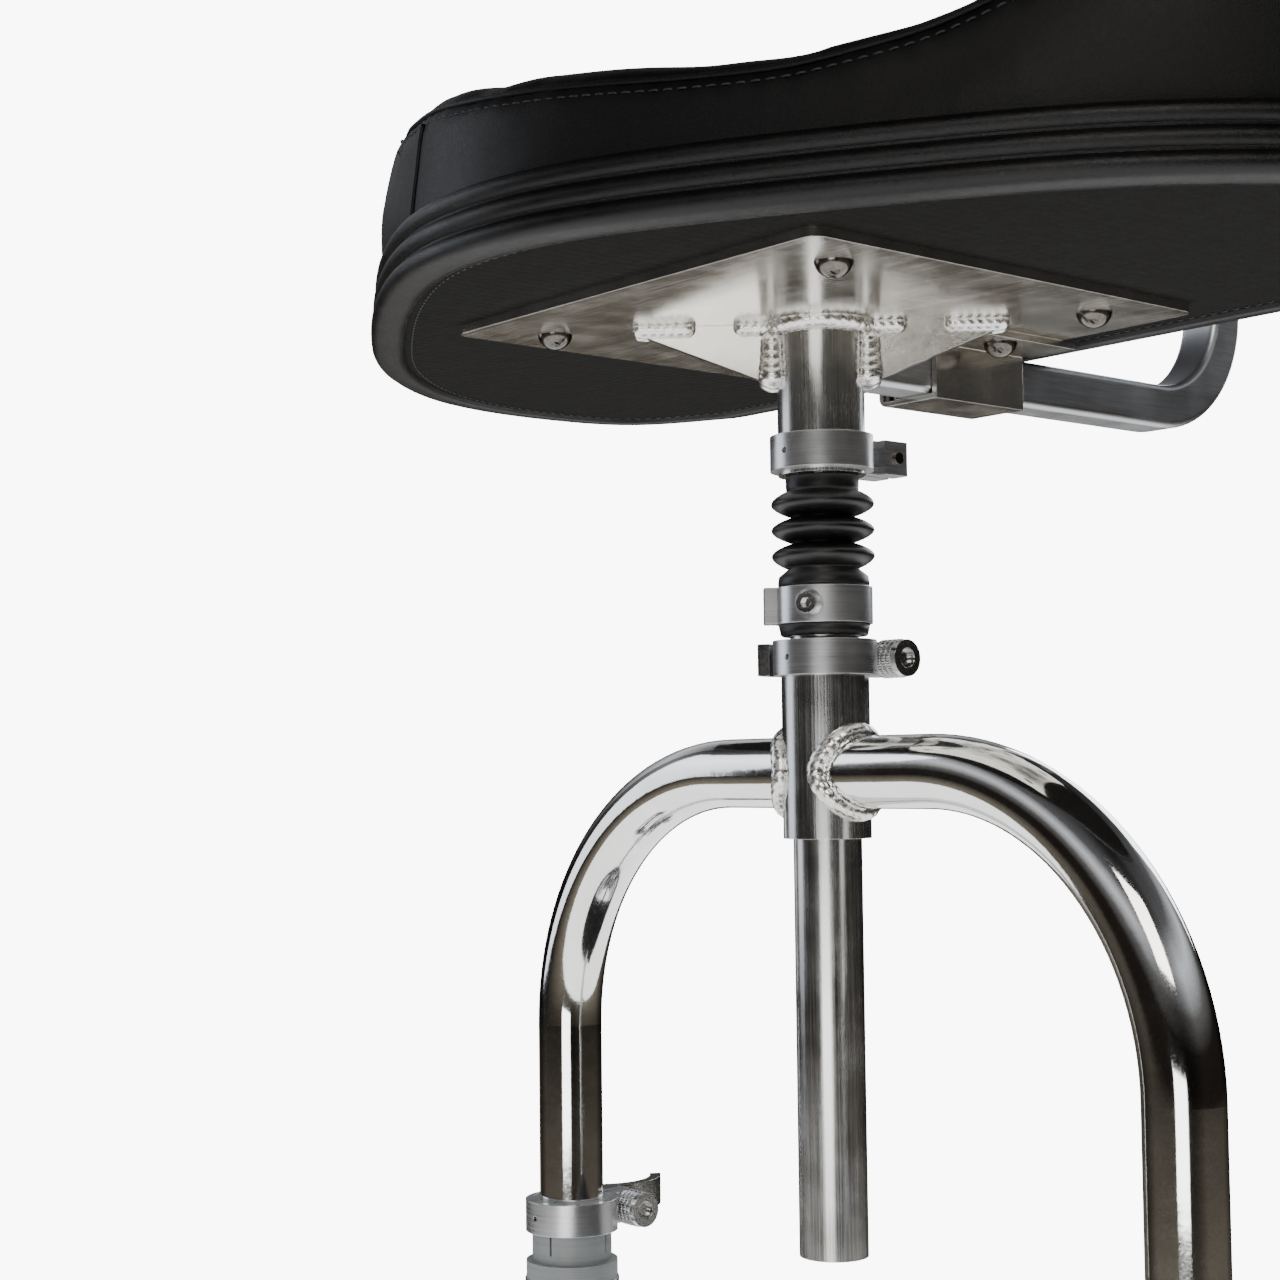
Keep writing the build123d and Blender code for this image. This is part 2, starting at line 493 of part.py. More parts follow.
def pedal(inner_x, side, y):
    """A platform pedal: a barrel on the axle, a frame round it and a bar across each window."""
    low, high = sorted((inner_x, inner_x + side * PEDAL_LENGTH))
    half_y, half_z = PEDAL_DEPTH / 2, PEDAL_HEIGHT / 2
    body = block(low, high, y - half_y, y + half_y, AXLE_Z - half_z, AXLE_Z + half_z)
    body = fillet(body.edges().filter_by(Axis.Z), 12)
    for way in (-1, 1):
        near, far = y + way * 12.0, y + way * (half_y - PEDAL_BAR)
        window = block(low + PEDAL_BAR, high - PEDAL_BAR, min(near, far), max(near, far),
                       AXLE_Z - half_z - 1, AXLE_Z + half_z + 1)
        body -= fillet(window.edges().filter_by(Axis.Z), 5)
    closed_end = inner_x + side * (PEDAL_LENGTH - 3)
    return body - rod(PEDAL_AXLE_R + FIT, (inner_x - side, y, AXLE_Z), (closed_end, y, AXLE_Z))


# ---------------------------------------------------------------- seat post and shock
HEAD_R = 15.0
HEAD_BOTTOM_Z = 667.0
HEAD_TOP_Z = 690.0
POST_TOP_Z = 684.0
BUSH_LENGTH = 30.0
BOOT_WALL = 1.5
BOOT_BOTTOM_Z = 667.2
BOOT_TOP_Z = SOCKET_BOTTOM_Z - 0.3
CLAMP_BOTTOM_Z = 672.0
CLAMP_TOP_Z = 686.6
CLAMP_R = 19.4
CLAMP_BORE_R = 16.6
CLAMP_SCREW_DEG = -62.6
CLAMP_LUG_DEG = 230.4
# (radius, height) of the boot's necks and ridges, from the bottom up
BOOT_PROFILE = ((18.2, 688.0), (17.6, 691.6), (13.6, 694.0), (20.6, 699.3), (12.4, 704.4), (20.6, 709.2),
                (12.8, 714.6), (20.2, 720.1), (14.8, 726.0))


def boot():
    """The rubber bellows: a cuff on the post's head, three ridges, and a cuff on the shaft's shoulder."""
    ridges = [(r, z) for r, z in BOOT_PROFILE]
    outer = Spline(*[(r, 0, z) for r, z in ridges])
    inner = Spline(*[(r - BOOT_WALL, 0, z) for r, z in reversed(ridges)])
    low, high = ridges[0], ridges[-1]
    cuff_r = SHAFT_TOP_R - 0.6
    lower = Polyline((low[0] - BOOT_WALL, 0, low[1]), (HEAD_R, 0, low[1]), (HEAD_R, 0, BOOT_BOTTOM_Z),
                     (17.0, 0, BOOT_BOTTOM_Z), (18.3, 0, BOOT_BOTTOM_Z + 4), (CLAMP_BORE_R, 0, CLAMP_BOTTOM_Z),
                     (CLAMP_BORE_R, 0, CLAMP_TOP_Z), (low[0], 0, CLAMP_TOP_Z), (low[0], 0, low[1]))
    upper = Polyline((high[0], 0, high[1]), (high[0], 0, BOOT_TOP_Z), (cuff_r, 0, BOOT_TOP_Z),
                     (cuff_r, 0, high[1]), (high[0] - BOOT_WALL, 0, high[1]))
    section = make_face([outer, upper, inner, lower])
    return revolve(section, Axis.Z, 360)


def make_post():
    post = tube(POST_R, POST_BORE_R, POST_BOTTOM_Z, POST_TOP_Z)
    save("seat_post", post)
    head = rod(HEAD_R, (0, 0, HEAD_BOTTOM_Z), (0, 0, HEAD_TOP_Z)) - rod(POST_R, (0, 0, 600), (0, 0, POST_TOP_Z))
    head -= rod(SHAFT_R + FIT, (0, 0, 600), (0, 0, 720))
    pilot_deg = radians(CLAMP_SCREW_DEG)
    mid = (CLAMP_BOTTOM_Z + CLAMP_TOP_Z) / 2
    way = Vector(cos(pilot_deg), sin(pilot_deg), 0)
    save("post_head", head)
    bush = tube(POST_BORE_R, SHAFT_R + FIT, POST_TOP_Z - BUSH_LENGTH, POST_TOP_Z)
    save("shaft_bush", bush)
    save("bellows_boot", boot())

    ring = tube(CLAMP_R, CLAMP_BORE_R, CLAMP_BOTTOM_Z, CLAMP_TOP_Z)
    lug = block(CLAMP_BORE_R + 0.6, CLAMP_R + 4.6, -4.5, 4.5, CLAMP_BOTTOM_Z, CLAMP_TOP_Z)
    lug -= block(0, CLAMP_R + 10, -0.8, 0.8, CLAMP_BOTTOM_Z - 1, CLAMP_TOP_Z + 1)
    slit = block(0, CLAMP_R + 10, -0.8, 0.8, CLAMP_BOTTOM_Z - 1, CLAMP_TOP_Z + 1)
    ring = (ring - Rot(0, 0, CLAMP_LUG_DEG) * slit) + Rot(0, 0, CLAMP_LUG_DEG) * lug

    def at(distance):
        return tuple(way * distance + Vector(0, 0, mid))

    ring -= rod(5.6, at(CLAMP_R - 1.6), at(CLAMP_R + 5))
    ring -= rod(2.0, at(0), at(CLAMP_R + 5))
    save("bellows_clamp", ring)
    screw = rod(4.1, at(CLAMP_R - 1.6), at(CLAMP_R + 3.4)) + rod(2.0, at(CLAMP_BORE_R), at(CLAMP_R))
    hexagon = Plane(origin=at(CLAMP_R + 1.0), z_dir=way) * RegularPolygon(2.1, 6)
    save("bellows_clamp_screw", screw - extrude(hexagon, 4))

    plug = rod(POST_BORE_R, (0, 0, SPRING_FOOT_Z - 16), (0, 0, SPRING_FOOT_Z - 0.1))
    plug -= extrude(Plane((0, 0, SPRING_FOOT_Z - 16)) * RegularPolygon(4.0, 6), 8)
    save("preload_plug", plug)
    spring_height = SHAFT_FOOT_Z - SPRING_FOOT_Z - 2 * SPRING_WIRE_R
    pitch = spring_height / SPRING_TURNS
    coil_r = POST_BORE_R - SPRING_WIRE_R - 0.5
    helix = Pos(0, 0, SPRING_FOOT_Z + SPRING_WIRE_R) * Helix(pitch, spring_height, coil_r)
    spring = sweep(Plane(origin=helix @ 0, z_dir=helix % 0) * Circle(SPRING_WIRE_R), path=helix, is_frenet=True)
    save("shock_spring", spring)


def make_shaft():
    shaft = rod(SHAFT_R, (0, 0, SHAFT_FOOT_Z), (0, 0, SHAFT_SHOULDER_Z + 1))
    shaft += rod(POST_BORE_R - 0.3, (0, 0, SHAFT_FOOT_Z), (0, 0, SHAFT_FOOT_Z + 12))
    shaft += rod(SHAFT_TOP_R - 0.6, (0, 0, SHAFT_SHOULDER_Z), (0, 0, SOCKET_BOTTOM_Z))
    shaft += rod(SHAFT_TOP_R, (0, 0, SOCKET_BOTTOM_Z), (0, 0, PLATE_BOTTOM_Z - 8))
    shaft -= rod(6.0, (0, 0, SHAFT_FOOT_Z + 20), (0, 0, PLATE_BOTTOM_Z))
    save("shock_shaft", shaft)


# ---------------------------------------------------------------- seat
# Half of the seat board's outline, as (x, y), from the nose round the side to the straight back.
BOARD_NOSE_Y = -166.5
BOARD_HALF = ((24, -164.5), (73, -147), (117, -123), (155, -99), (190, -74), (222, -42), (246, -4), (256, 34),
              (256, 74), (242, 110), (205, 128), (150, 131))


def board_slab(low, height, grow=0.0):
    """A slab with the seat board's outline, made bigger all round by grow."""
    edge = Spline((0, BOARD_NOSE_Y), *BOARD_HALF, tangents=((1, 0), (-1, 0)))
    if grow:
        steps = [k / 40 for k in range(41)]
        moved = [edge @ t + Vector((edge % t).Y, -(edge % t).X) * grow for t in steps]
        edge = Spline(*[(p.X, p.Y) for p in moved], tangents=((1, 0), (-1, 0)))
    half = make_face([edge, Line(edge @ 1, (0, (edge @ 1).Y)), Line((0, (edge @ 1).Y), edge @ 0)])
    return Pos(0, 0, low) * extrude(half + mirror(half, Plane.YZ), height, dir=(0, 0, 1))


def make_seat():
    plate = block(-PLATE_HALF, PLATE_HALF, -PLATE_HALF, PLATE_HALF, PLATE_BOTTOM_Z, BOARD_BOTTOM_Z)
    plate = fillet(plate.edges().filter_by(Axis.Z), 6)
    places = [(sx * PLATE_SCREW_X, sy * PLATE_SCREW_Y) for sx in (-1, 1) for sy in (-1, 1)]
    receiver_places = [(-RECEIVER_SCREW_X, RECEIVER_SCREW_Y), (RECEIVER_SCREW_X, RECEIVER_SCREW_Y)]
    for x, y in places + receiver_places:
        plate -= rod(SCREW_R, (x, y, PLATE_BOTTOM_Z - 1), (x, y, BOARD_BOTTOM_Z + 1))
    save("seat_plate", plate)

    socket = tube(SOCKET_R, SHAFT_TOP_R + FIT, SOCKET_BOTTOM_Z, PLATE_BOTTOM_Z)
    socket -= block(-COLLAR_SLOT / 2, COLLAR_SLOT / 2, 0, SOCKET_R + 2, SOCKET_BOTTOM_Z - 1,
                    SOCKET_BOTTOM_Z + SOCKET_SLOT_LENGTH)
    save("seat_socket_tube", socket)
    outline = Polyline((0, PLATE_BOTTOM_Z), (GUSSET_REACH, PLATE_BOTTOM_Z), (GUSSET_REACH, PLATE_BOTTOM_Z - 3),
                       (SOCKET_R, PLATE_BOTTOM_Z - GUSSET_DROP), (0, PLATE_BOTTOM_Z - GUSSET_DROP), close=True)
    web = extrude(Plane(origin=(0, GUSSET_THICK / 2, 0), x_dir=(1, 0, 0), z_dir=(0, -1, 0)) * make_face(outline),
                  GUSSET_THICK)
    web -= rod(SOCKET_R, (0, 0, 700), (0, 0, 900))
    save("seat_gussets", *[Rot(0, 0, turn) * web for turn in (GUSSET_DEG, GUSSET_DEG + 180)])

    top = SEAT_COLLAR_Z + COLLAR_HEIGHT
    mid = (SEAT_COLLAR_Z + top) / 2
    ring = rod(COLLAR_R, (0, 0, SEAT_COLLAR_Z), (0, 0, top))
    ring += block(-5.5, 5.5, 14, 27.5, SEAT_COLLAR_Z, top)
    ring += block(-9.5, 9.5, 26.5, 39.5, SEAT_COLLAR_Z, top)
    ring -= rod(SOCKET_R, (0, 0, SEAT_COLLAR_Z - 1), (0, 0, top + 1))
    ring -= block(-COLLAR_SLOT / 2, COLLAR_SLOT / 2, 0, 41, SEAT_COLLAR_Z - 1, top + 1)
    ring -= rod(2.5, (-12, 33.5, mid), (12, 33.5, mid))
    ring -= rod(RELIEF_HOLE_R, (0, -COLLAR_R - 1, mid), (0, -SOCKET_R + 2, mid))
    save("seat_collar", ring)
    screw = rod(2.5, (-9.5, 33.5, mid), (11.0, 33.5, mid)) + rod(4.2, (-14.0, 33.5, mid), (-9.5, 33.5, mid))
    hexagon = Plane(origin=(-11.5, 33.5, mid), z_dir=(-1, 0, 0)) * RegularPolygon(2.2, 6)
    save("seat_collar_screw", screw - extrude(hexagon, 4))

    screws = [dome_screw(x, y, PLATE_BOTTOM_Z) for x, y in places]
    screws += [dome_screw(x, y, PLATE_BOTTOM_Z - RECEIVER_FLANGE_THICK) for x, y in receiver_places]
    save("seat_screws", *screws)
    nuts = [rod(SCREW_R + 3, (x, y, BOARD_BOTTOM_Z), (x, y, BOARD_TOP_Z)) - rod(
        SCREW_R, (x, y, BOARD_BOTTOM_Z - 1), (x, y, BOARD_TOP_Z + 1)) for x, y in places + receiver_places]
    save("seat_tee_nuts", *nuts)
    board = board_slab(BOARD_BOTTOM_Z, BOARD_THICK)
    for x, y in places + receiver_places:
        board -= rod(SCREW_R + 3, (x, y, BOARD_BOTTOM_Z - 1), (x, y, BOARD_TOP_Z + 1))
    save("seat_board", board)
    trim = board_slab(BOARD_BOTTOM_Z - TRIM_LIP, TRIM_HEIGHT, TRIM_OUT)
    save("seat_trim", trim - board_slab(BOARD_BOTTOM_Z - 10, TRIM_HEIGHT + 20))

    cushion = board_slab(BOARD_TOP_Z, SEAT_SIDE_HEIGHT - BOARD_THICK)
    half_width = BOARD_HALF[7][0]
    dip_r = (half_width ** 2 + SEAT_DIP ** 2) / (2 * SEAT_DIP)
    dip_z = BOARD_BOTTOM_Z + SEAT_SIDE_HEIGHT - SEAT_DIP + dip_r
    save("seat_cushion", cushion - rod(dip_r, (0, -400, dip_z), (0, 400, dip_z)))


def dome_screw(x, y, face_z):
    """A dome-head screw whose head bears on a downward face."""
    radius = (SCREW_HEAD_R ** 2 + SCREW_HEAD_HEIGHT ** 2) / (2 * SCREW_HEAD_HEIGHT)
    dome = Pos(x, y, face_z - SCREW_HEAD_HEIGHT + radius) * Sphere(radius)
    dome = dome & block(x - 20, x + 20, y - 20, y + 20, face_z - 20, face_z)
    return dome + rod(SCREW_R, (x, y, face_z - 1), (x, y, BOARD_TOP_Z - 2))


# ---------------------------------------------------------------- backrest bar and its receiver
def make_receiver():
    half = BAR / 2 + BAR_PLAY
    low = BAR_MID_Z - half
    flange_z = PLATE_BOTTOM_Z - RECEIVER_FLANGE_THICK
    body = block(-half - RECEIVER_THICK_SIDE, half + RECEIVER_WALL, RECEIVER_FRONT_Y, RECEIVER_BACK_Y,
                 low - RECEIVER_WALL, flange_z)
    body += block(-RECEIVER_FLANGE_HALF, RECEIVER_FLANGE_HALF, RECEIVER_FRONT_Y + 3, RECEIVER_BACK_Y + 4,
                  flange_z, PLATE_BOTTOM_Z)
    body -= block(-half, half, RECEIVER_FRONT_Y - 5, RECEIVER_BACK_Y + 1, low, BAR_MID_Z + half)
    for side in (-1, 1):
        x = side * RECEIVER_SCREW_X
        body -= rod(SCREW_R, (x, RECEIVER_SCREW_Y, flange_z - 1), (x, RECEIVER_SCREW_Y, PLATE_BOTTOM_Z + 1))
    outer = -half - RECEIVER_THICK_SIDE
    body = fillet(body.edges().filter_by(Axis.Y).sort_by(Axis.Z)[:2].sort_by(Axis.X)[0], 4)
    chamber_z = (low + CHAMBER_FLOOR, low + CHAMBER_FLOOR + CHAMBER_HEIGHT)
    body -= block(outer + RECEIVER_WALL, -half - RECEIVER_WALL / 2, RECEIVER_FRONT_Y - 1, RECEIVER_BACK_Y + 1,
                  *chamber_z)
    screw_x = -half - RECEIVER_THICK_SIDE / 2
    screws = []
    for y in (RECEIVER_FRONT_Y + 6, RECEIVER_BACK_Y - 6):
        screws.append(rod(CLAMP_SCREW_R, (screw_x, y, low - RECEIVER_WALL + 0.6), (screw_x, y, chamber_z[1] + 5)))
    body -= screws
    save("bar_receiver", body)
    save("bar_clamp_screws", *screws)


def square_section(size, corner):
    return Plane(origin=(0, BAR_FRONT_Y, BAR_MID_Z), z_dir=(0, 1, 0)) * RectangleRounded(size, size, corner)


def make_backrest():
    bend_y = BAR_UPRIGHT_Y - BAR_BEND_R
    path = Line((0, BAR_FRONT_Y, BAR_MID_Z), (0, bend_y, BAR_MID_Z))
    path += CenterArc((0, 0), BAR_BEND_R, -90, 90).moved(
        Location(Plane(origin=(0, bend_y, BAR_MID_Z + BAR_BEND_R), x_dir=(0, 1, 0), z_dir=(1, 0, 0))))
    path += Line((0, BAR_UPRIGHT_Y, BAR_MID_Z + BAR_BEND_R), (0, BAR_UPRIGHT_Y, BAR_TOP_Z))
    bar = sweep(square_section(BAR, BAR_CORNER_R), path=path)
    bar -= sweep(square_section(BAR - 2 * BAR_WALL, BAR_CORNER_R - 1.5), path=path)
    front, back = BAR_UPRIGHT_Y - BAR / 2, BAR_UPRIGHT_Y + BAR / 2
    heights = (BACKREST_Z - 40, BACKREST_Z + 40)
    for z in heights:
        bar -= rod(3.0, (0, front - 1, z), (0, back + 1, z))
    save("backrest_bar", bar)
    hole = BAR - 2 * BAR_WALL
    cap = Pos(0, BAR_UPRIGHT_Y, BAR_TOP_Z + 1.5) * Box(BAR, BAR, 3)
    cap = fillet(cap.edges().filter_by(Axis.Z), BAR_CORNER_R)
    cap += fillet((Pos(0, BAR_UPRIGHT_Y, BAR_TOP_Z - 4) * Box(hole, hole, 8)).edges().filter_by(Axis.Z), 1.6)
    save("bar_top_cap", cap)
    wide, tall = BACKREST_WIDTH, BACKREST_HEIGHT

    def slab(w, h, y0, y1, corner_r):
        plain = block(-w / 2, w / 2, y0, y1, BACKREST_Z - h / 2, BACKREST_Z + h / 2)
        return fillet(plain.edges().filter_by(Axis.Y), corner_r)

    board = slab(wide - 12, tall - 12, front - BACKREST_BOARD, front, 26)
    pad = slab(wide, tall, front - BACKREST_BOARD - BACKREST_PAD, front - BACKREST_BOARD, 30)
    screws = []
    for z in heights:
        board -= rod(3.0, (0, front - BACKREST_BOARD - 1, z), (0, front + 1, z))
        screw = rod(3.0, (0, front - BACKREST_BOARD, z), (0, back, z)) + rod(6.5, (0, back, z), (0, back + 5, z))
        screws.append(fillet(screw.edges().sort_by(Axis.Y)[-1], 3.0))
    save("backrest_board", board)
    save("backrest_pad", pad)
    save("backrest_screws", *screws)


os.makedirs("parts", exist_ok=True)
make_fork()
make_collars()
make_lower_frame()
make_wheel()
make_cranks()
make_post()
make_shaft()
make_seat()
make_receiver()
make_backrest()
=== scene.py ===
# %% [markdown]
# # A seated unicycle: how its surfaces and soft parts are made
#
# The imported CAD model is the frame. This script dresses it: it gives every hard part its metal, plastic or
# rubber, and it builds what CAD leaves plain: the stuffed seat, the rubber bellows, the weld beads, the
# knurled nuts, the tyre's tread and the stitching. Lengths are metres in the CAD frame.

# %% Load the frame
import json
import math

import bpy
import numpy as np
from mathutils import Matrix, Vector
from mathutils.bvhtree import BVHTree


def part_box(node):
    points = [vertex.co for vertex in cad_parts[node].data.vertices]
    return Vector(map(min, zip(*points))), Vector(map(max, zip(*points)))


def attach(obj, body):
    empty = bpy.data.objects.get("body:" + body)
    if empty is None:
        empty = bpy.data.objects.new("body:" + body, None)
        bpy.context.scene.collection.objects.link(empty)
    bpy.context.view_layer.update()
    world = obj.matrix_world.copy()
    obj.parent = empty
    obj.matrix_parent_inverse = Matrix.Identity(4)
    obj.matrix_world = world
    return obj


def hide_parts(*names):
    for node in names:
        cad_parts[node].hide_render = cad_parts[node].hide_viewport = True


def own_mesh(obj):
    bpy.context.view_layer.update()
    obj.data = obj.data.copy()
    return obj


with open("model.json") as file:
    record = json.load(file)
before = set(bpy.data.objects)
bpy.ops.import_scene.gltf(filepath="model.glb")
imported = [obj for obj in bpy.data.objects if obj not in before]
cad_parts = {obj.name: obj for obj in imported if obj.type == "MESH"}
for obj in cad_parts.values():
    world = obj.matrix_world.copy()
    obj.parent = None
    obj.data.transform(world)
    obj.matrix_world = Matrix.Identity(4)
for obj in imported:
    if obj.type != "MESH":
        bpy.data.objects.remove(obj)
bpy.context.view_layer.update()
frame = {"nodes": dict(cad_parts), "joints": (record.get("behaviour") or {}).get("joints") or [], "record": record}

MM = 0.001
TAU = 2 * math.pi

# %% [markdown]
# ## Camera
# A long lens at the height of the fork's crown, in front of the rider's left-hand side, looking slightly up.
# Its place and lens were solved against edges of stock size, such as the post and the fork tube, and are kept
# as plain numbers, because a view found by eye would drift.

# %% The camera
def aim(obj, forward, up):
    """Turns a camera or a lamp so that its -Z looks along forward and its +Y points up."""
    back = -Vector(forward).normalized()
    side = Vector(up).cross(back).normalized()
    top = back.cross(side)
    turn = Matrix((side, top, back)).transposed()
    obj.matrix_world = Matrix.Translation(obj.location) @ turn.to_4x4()


def make_camera():
    data = bpy.data.cameras.new("camera")
    data.lens = 61.57
    data.sensor_width = 36.0
    data.clip_start = 0.05
    camera = bpy.data.objects.new("camera", data)
    bpy.context.scene.collection.objects.link(camera)
    camera.location = (0.62456, -0.61308, 0.6130)
    aim(camera, forward=(-0.768615, 0.636768, 0.061302), up=(0.053987, -0.030919, 0.998063))
    bpy.context.scene.camera = camera


make_camera()

# %% [markdown]
# ## Materials
# A finish is a colour, how sharply it reflects, and a fine relief. One small function adds a node to a
# material, and one describes a whole finish, so each material below is only its own facts. Pattern sizes are
# real ones: `per(0.4)` is the texture scale whose features are 0.4 mm apart. Painted images could do this too,
# but a pattern worked out in the part's own coordinates keeps its size on every part and needs no unwrapping.

# %% Colour, scale and one node at a time
def srgb(hex_colour):
    """A shader colour from an sRGB hex string."""
    parts = [int(hex_colour[i:i + 2], 16) / 255 for i in (1, 3, 5)]
    return tuple(p / 12.92 if p <= 0.04045 else ((p + 0.055) / 1.055) ** 2.4 for p in parts) + (1.0,)


def per(mm):
    """The texture scale whose features are mm millimetres apart."""
    return 1000.0 / mm


def add(tree, kind, inputs=None, **settings):
    """Adds one shader node, with its settings, and with its inputs set to values or linked to sockets."""
    node = tree.nodes.new(kind)
    for key, value in settings.items():
        setattr(node, key, value)
    for key, value in (inputs or {}).items():
        if isinstance(value, bpy.types.NodeSocket):
            tree.links.new(value, node.inputs[key])
        else:
            node.inputs[key].default_value = value
    return node


print("per(0.4) =", per(0.4))

# %% One finish
MATERIALS = {}


def finish(name, dark, light, gloss, grain_mm, relief_mm, stretch=(1, 1, 1), cloud_mm=30, metal=False,
           waves_mm=0.0, edge_mm=0.0, pebble_mm=0.0, sockets=None):
    """A material between two colours. gloss is the lowest and highest roughness. grain_mm and stretch are the
    fine marks and which way they run, relief_mm is how deep they are, and cloud_mm is how wide the slow changes
    of tone are. waves_mm, edge_mm and pebble_mm add hand-buffed waves, rounded edges and a hide's pebbles."""
    material = bpy.data.materials.new(name)
    material.use_nodes = True
    tree = material.node_tree
    shader = tree.nodes["Principled BSDF"]
    shader.inputs["Metallic"].default_value = 1.0 if metal else 0.0
    for socket, value in (sockets or {}).items():
        shader.inputs[socket].default_value = value
    place = add(tree, "ShaderNodeTexCoord").outputs["Object"]
    along = add(tree, "ShaderNodeMapping", {"Vector": place, "Scale": [per(grain_mm) / k for k in stretch]})
    grain = add(tree, "ShaderNodeTexNoise", {"Vector": along.outputs[0], "Scale": 1.0, "Detail": 3.0}).outputs[0]
    cloud = add(tree, "ShaderNodeTexNoise", {"Vector": place, "Scale": per(cloud_mm), "Detail": 4.0}).outputs[0]
    both = add(tree, "ShaderNodeMath", {0: grain, 1: cloud}, operation="ADD").outputs[0]
    tone = add(tree, "ShaderNodeMapRange", {0: both, 1: 0.7, 2: 1.3}).outputs[0]
    mix = add(tree, "ShaderNodeMix", {0: tone, 6: srgb(dark), 7: srgb(light)}, data_type="RGBA")
    rough = add(tree, "ShaderNodeMapRange", {0: both, 1: 0.7, 2: 1.3, 3: gloss[0], 4: gloss[1]}).outputs[0]
    tree.links.new(mix.outputs[2], shader.inputs["Base Color"])
    tree.links.new(rough, shader.inputs["Roughness"])
    relief = {"Height": grain, "Distance": relief_mm * MM}
    if edge_mm:
        relief["Normal"] = add(tree, "ShaderNodeBevel", {"Radius": edge_mm * MM}, samples=4).outputs[0]
    if waves_mm:
        relief["Normal"] = add(tree, "ShaderNodeBump", {"Height": cloud, "Distance": waves_mm * MM}).outputs[0]
    if pebble_mm:
        cells = add(tree, "ShaderNodeTexVoronoi", {"Vector": place, "Scale": per(pebble_mm)},
                    feature="DISTANCE_TO_EDGE").outputs["Distance"]
        crease = add(tree, "ShaderNodeMapRange", {0: cells, 1: 0.0, 2: 0.22}).outputs[0]
        pebbles = {"Height": crease, "Distance": 0.04 * MM}
        if waves_mm:
            pebbles["Normal"] = relief["Normal"]
        relief["Normal"] = add(tree, "ShaderNodeBump", pebbles).outputs[0]
    tree.links.new(add(tree, "ShaderNodeBump", relief).outputs[0], shader.inputs["Normal"])
    MATERIALS[name] = material
    return material


print("finish ready")

# %% [markdown]
# ## Metals
# Nearly every hard part is aluminium, and only its last working tells them apart: drawn tube keeps hair lines
# along its length, buffing turns them to a mirror, a lathe leaves rings, rolling leaves streaks, and anodising
# evens everything to a satin grey. Real marks are hundredths of a millimetre, too fine to show, so the
# grain here is drawn as coarse as it needs to show. Noise stretched one way stands for all of them, since it
# follows a tube of any length.

# %% Aluminium
LENGTHWISE, RINGS, ALONG_X, ALONG_Y = (1, 1, 120), (200, 200, 1), (90, 1, 1), (1, 60, 1)
# drawn 6061 tube, satin, with scratches along it
finish("drawn_aluminium", "#b4b4b2", "#dadad8", (0.17, 0.30), 0.5, 0.006, LENGTHWISE, metal=True, edge_mm=0.3)
# buffed arch: near mirror, with the slight waviness that buffing leaves
finish("buffed_aluminium", "#dededc", "#f2f2f0", (0.045, 0.11), 0.8, 0.001, metal=True, waves_mm=0.10, cloud_mm=22)
# lathe-turned collars: rings about the upright axis
finish("turned_aluminium", "#c4c5c7", "#e2e3e4", (0.26, 0.36), 0.25, 0.002, RINGS, metal=True, edge_mm=0.5)
# rolled plate in mill finish: streaks and cloudy handling marks
finish("mill_plate", "#c9c6bf", "#e6e3dc", (0.14, 0.26), 0.7, 0.003, ALONG_X, metal=True, edge_mm=0.4, cloud_mm=18)
# bare weld: brighter than the plate, mottled by heat
finish("weld_metal", "#cfccc6", "#f3f2f0", (0.20, 0.34), 1.2, 0.004, metal=True, cloud_mm=3.5)
# satin anodised square tube: even, slightly cool grey
finish("anodised_aluminium", "#a9abae", "#c6c8cb", (0.30, 0.42), 0.35, 0.004, ALONG_Y, metal=True, edge_mm=0.6)
# extruded rim: satin, and a shade darker than the tubes
finish("rim_extrusion", "#a4a5a8", "#cdced0", (0.15, 0.28), 0.4, 0.004, metal=True, edge_mm=0.4)
# forged crank: broad soft edges and a duller grey
finish("forged_crank", "#96979a", "#bcbdbf", (0.22, 0.36), 0.5, 0.006, ALONG_Y, metal=True, edge_mm=0.8)
print(len(MATERIALS), "aluminium finishes")

# %% Steel
# zinc plate: bright with a faint mottle
finish("zinc_plate", "#a9a9a8", "#d6d6d4", (0.14, 0.27), 0.8, 0.003, metal=True, edge_mm=0.3)
# black nickel: a dark warm mirror
finish("black_nickel", "#4a4743", "#6d6963", (0.09, 0.18), 1.5, 0.002, metal=True, edge_mm=0.3)
# oil-tempered spring wire: dull and dark
finish("spring_wire", "#535457", "#77787b", (0.25, 0.40), 0.6, 0.010, metal=True)
print(len(MATERIALS), "metal finishes")

# %% [markdown]
# ## Rubber, plastic and vinyl
# These reflect only a little, so their surface relief does the work: rubber has a mould's grain, the tyre is
# dulled by the road, the bearing sleeve is a turned grey acetal, and the seat's vinyl has a hide's pebbles.
# The pebbles are cells with creases between them, because plain noise has no creases.

# %% Soft and moulded surfaces
# moulded rubber: near black, with a soft sheen on each ridge
finish("bellows_rubber", "#050505", "#0f0e0e", (0.34, 0.50), 0.35, 0.012, cloud_mm=6)
# scuffed tyre: grey-black and dull all over
finish("worn_tyre_rubber", "#121212", "#242423", (0.60, 0.80), 0.7, 0.04, cloud_mm=25)
# turned grey acetal lets a little light in
finish("turned_acetal", "#7e8284", "#989c9d", (0.36, 0.48), 0.3, 0.006, RINGS,
       sockets={"Subsurface Weight": 0.1, "Subsurface Radius": (0.002, 0.002, 0.002)})
# moulded nylon: black, with an even fine grain
finish("moulded_nylon", "#101010", "#1b1b1b", (0.42, 0.60), 0.5, 0.02)
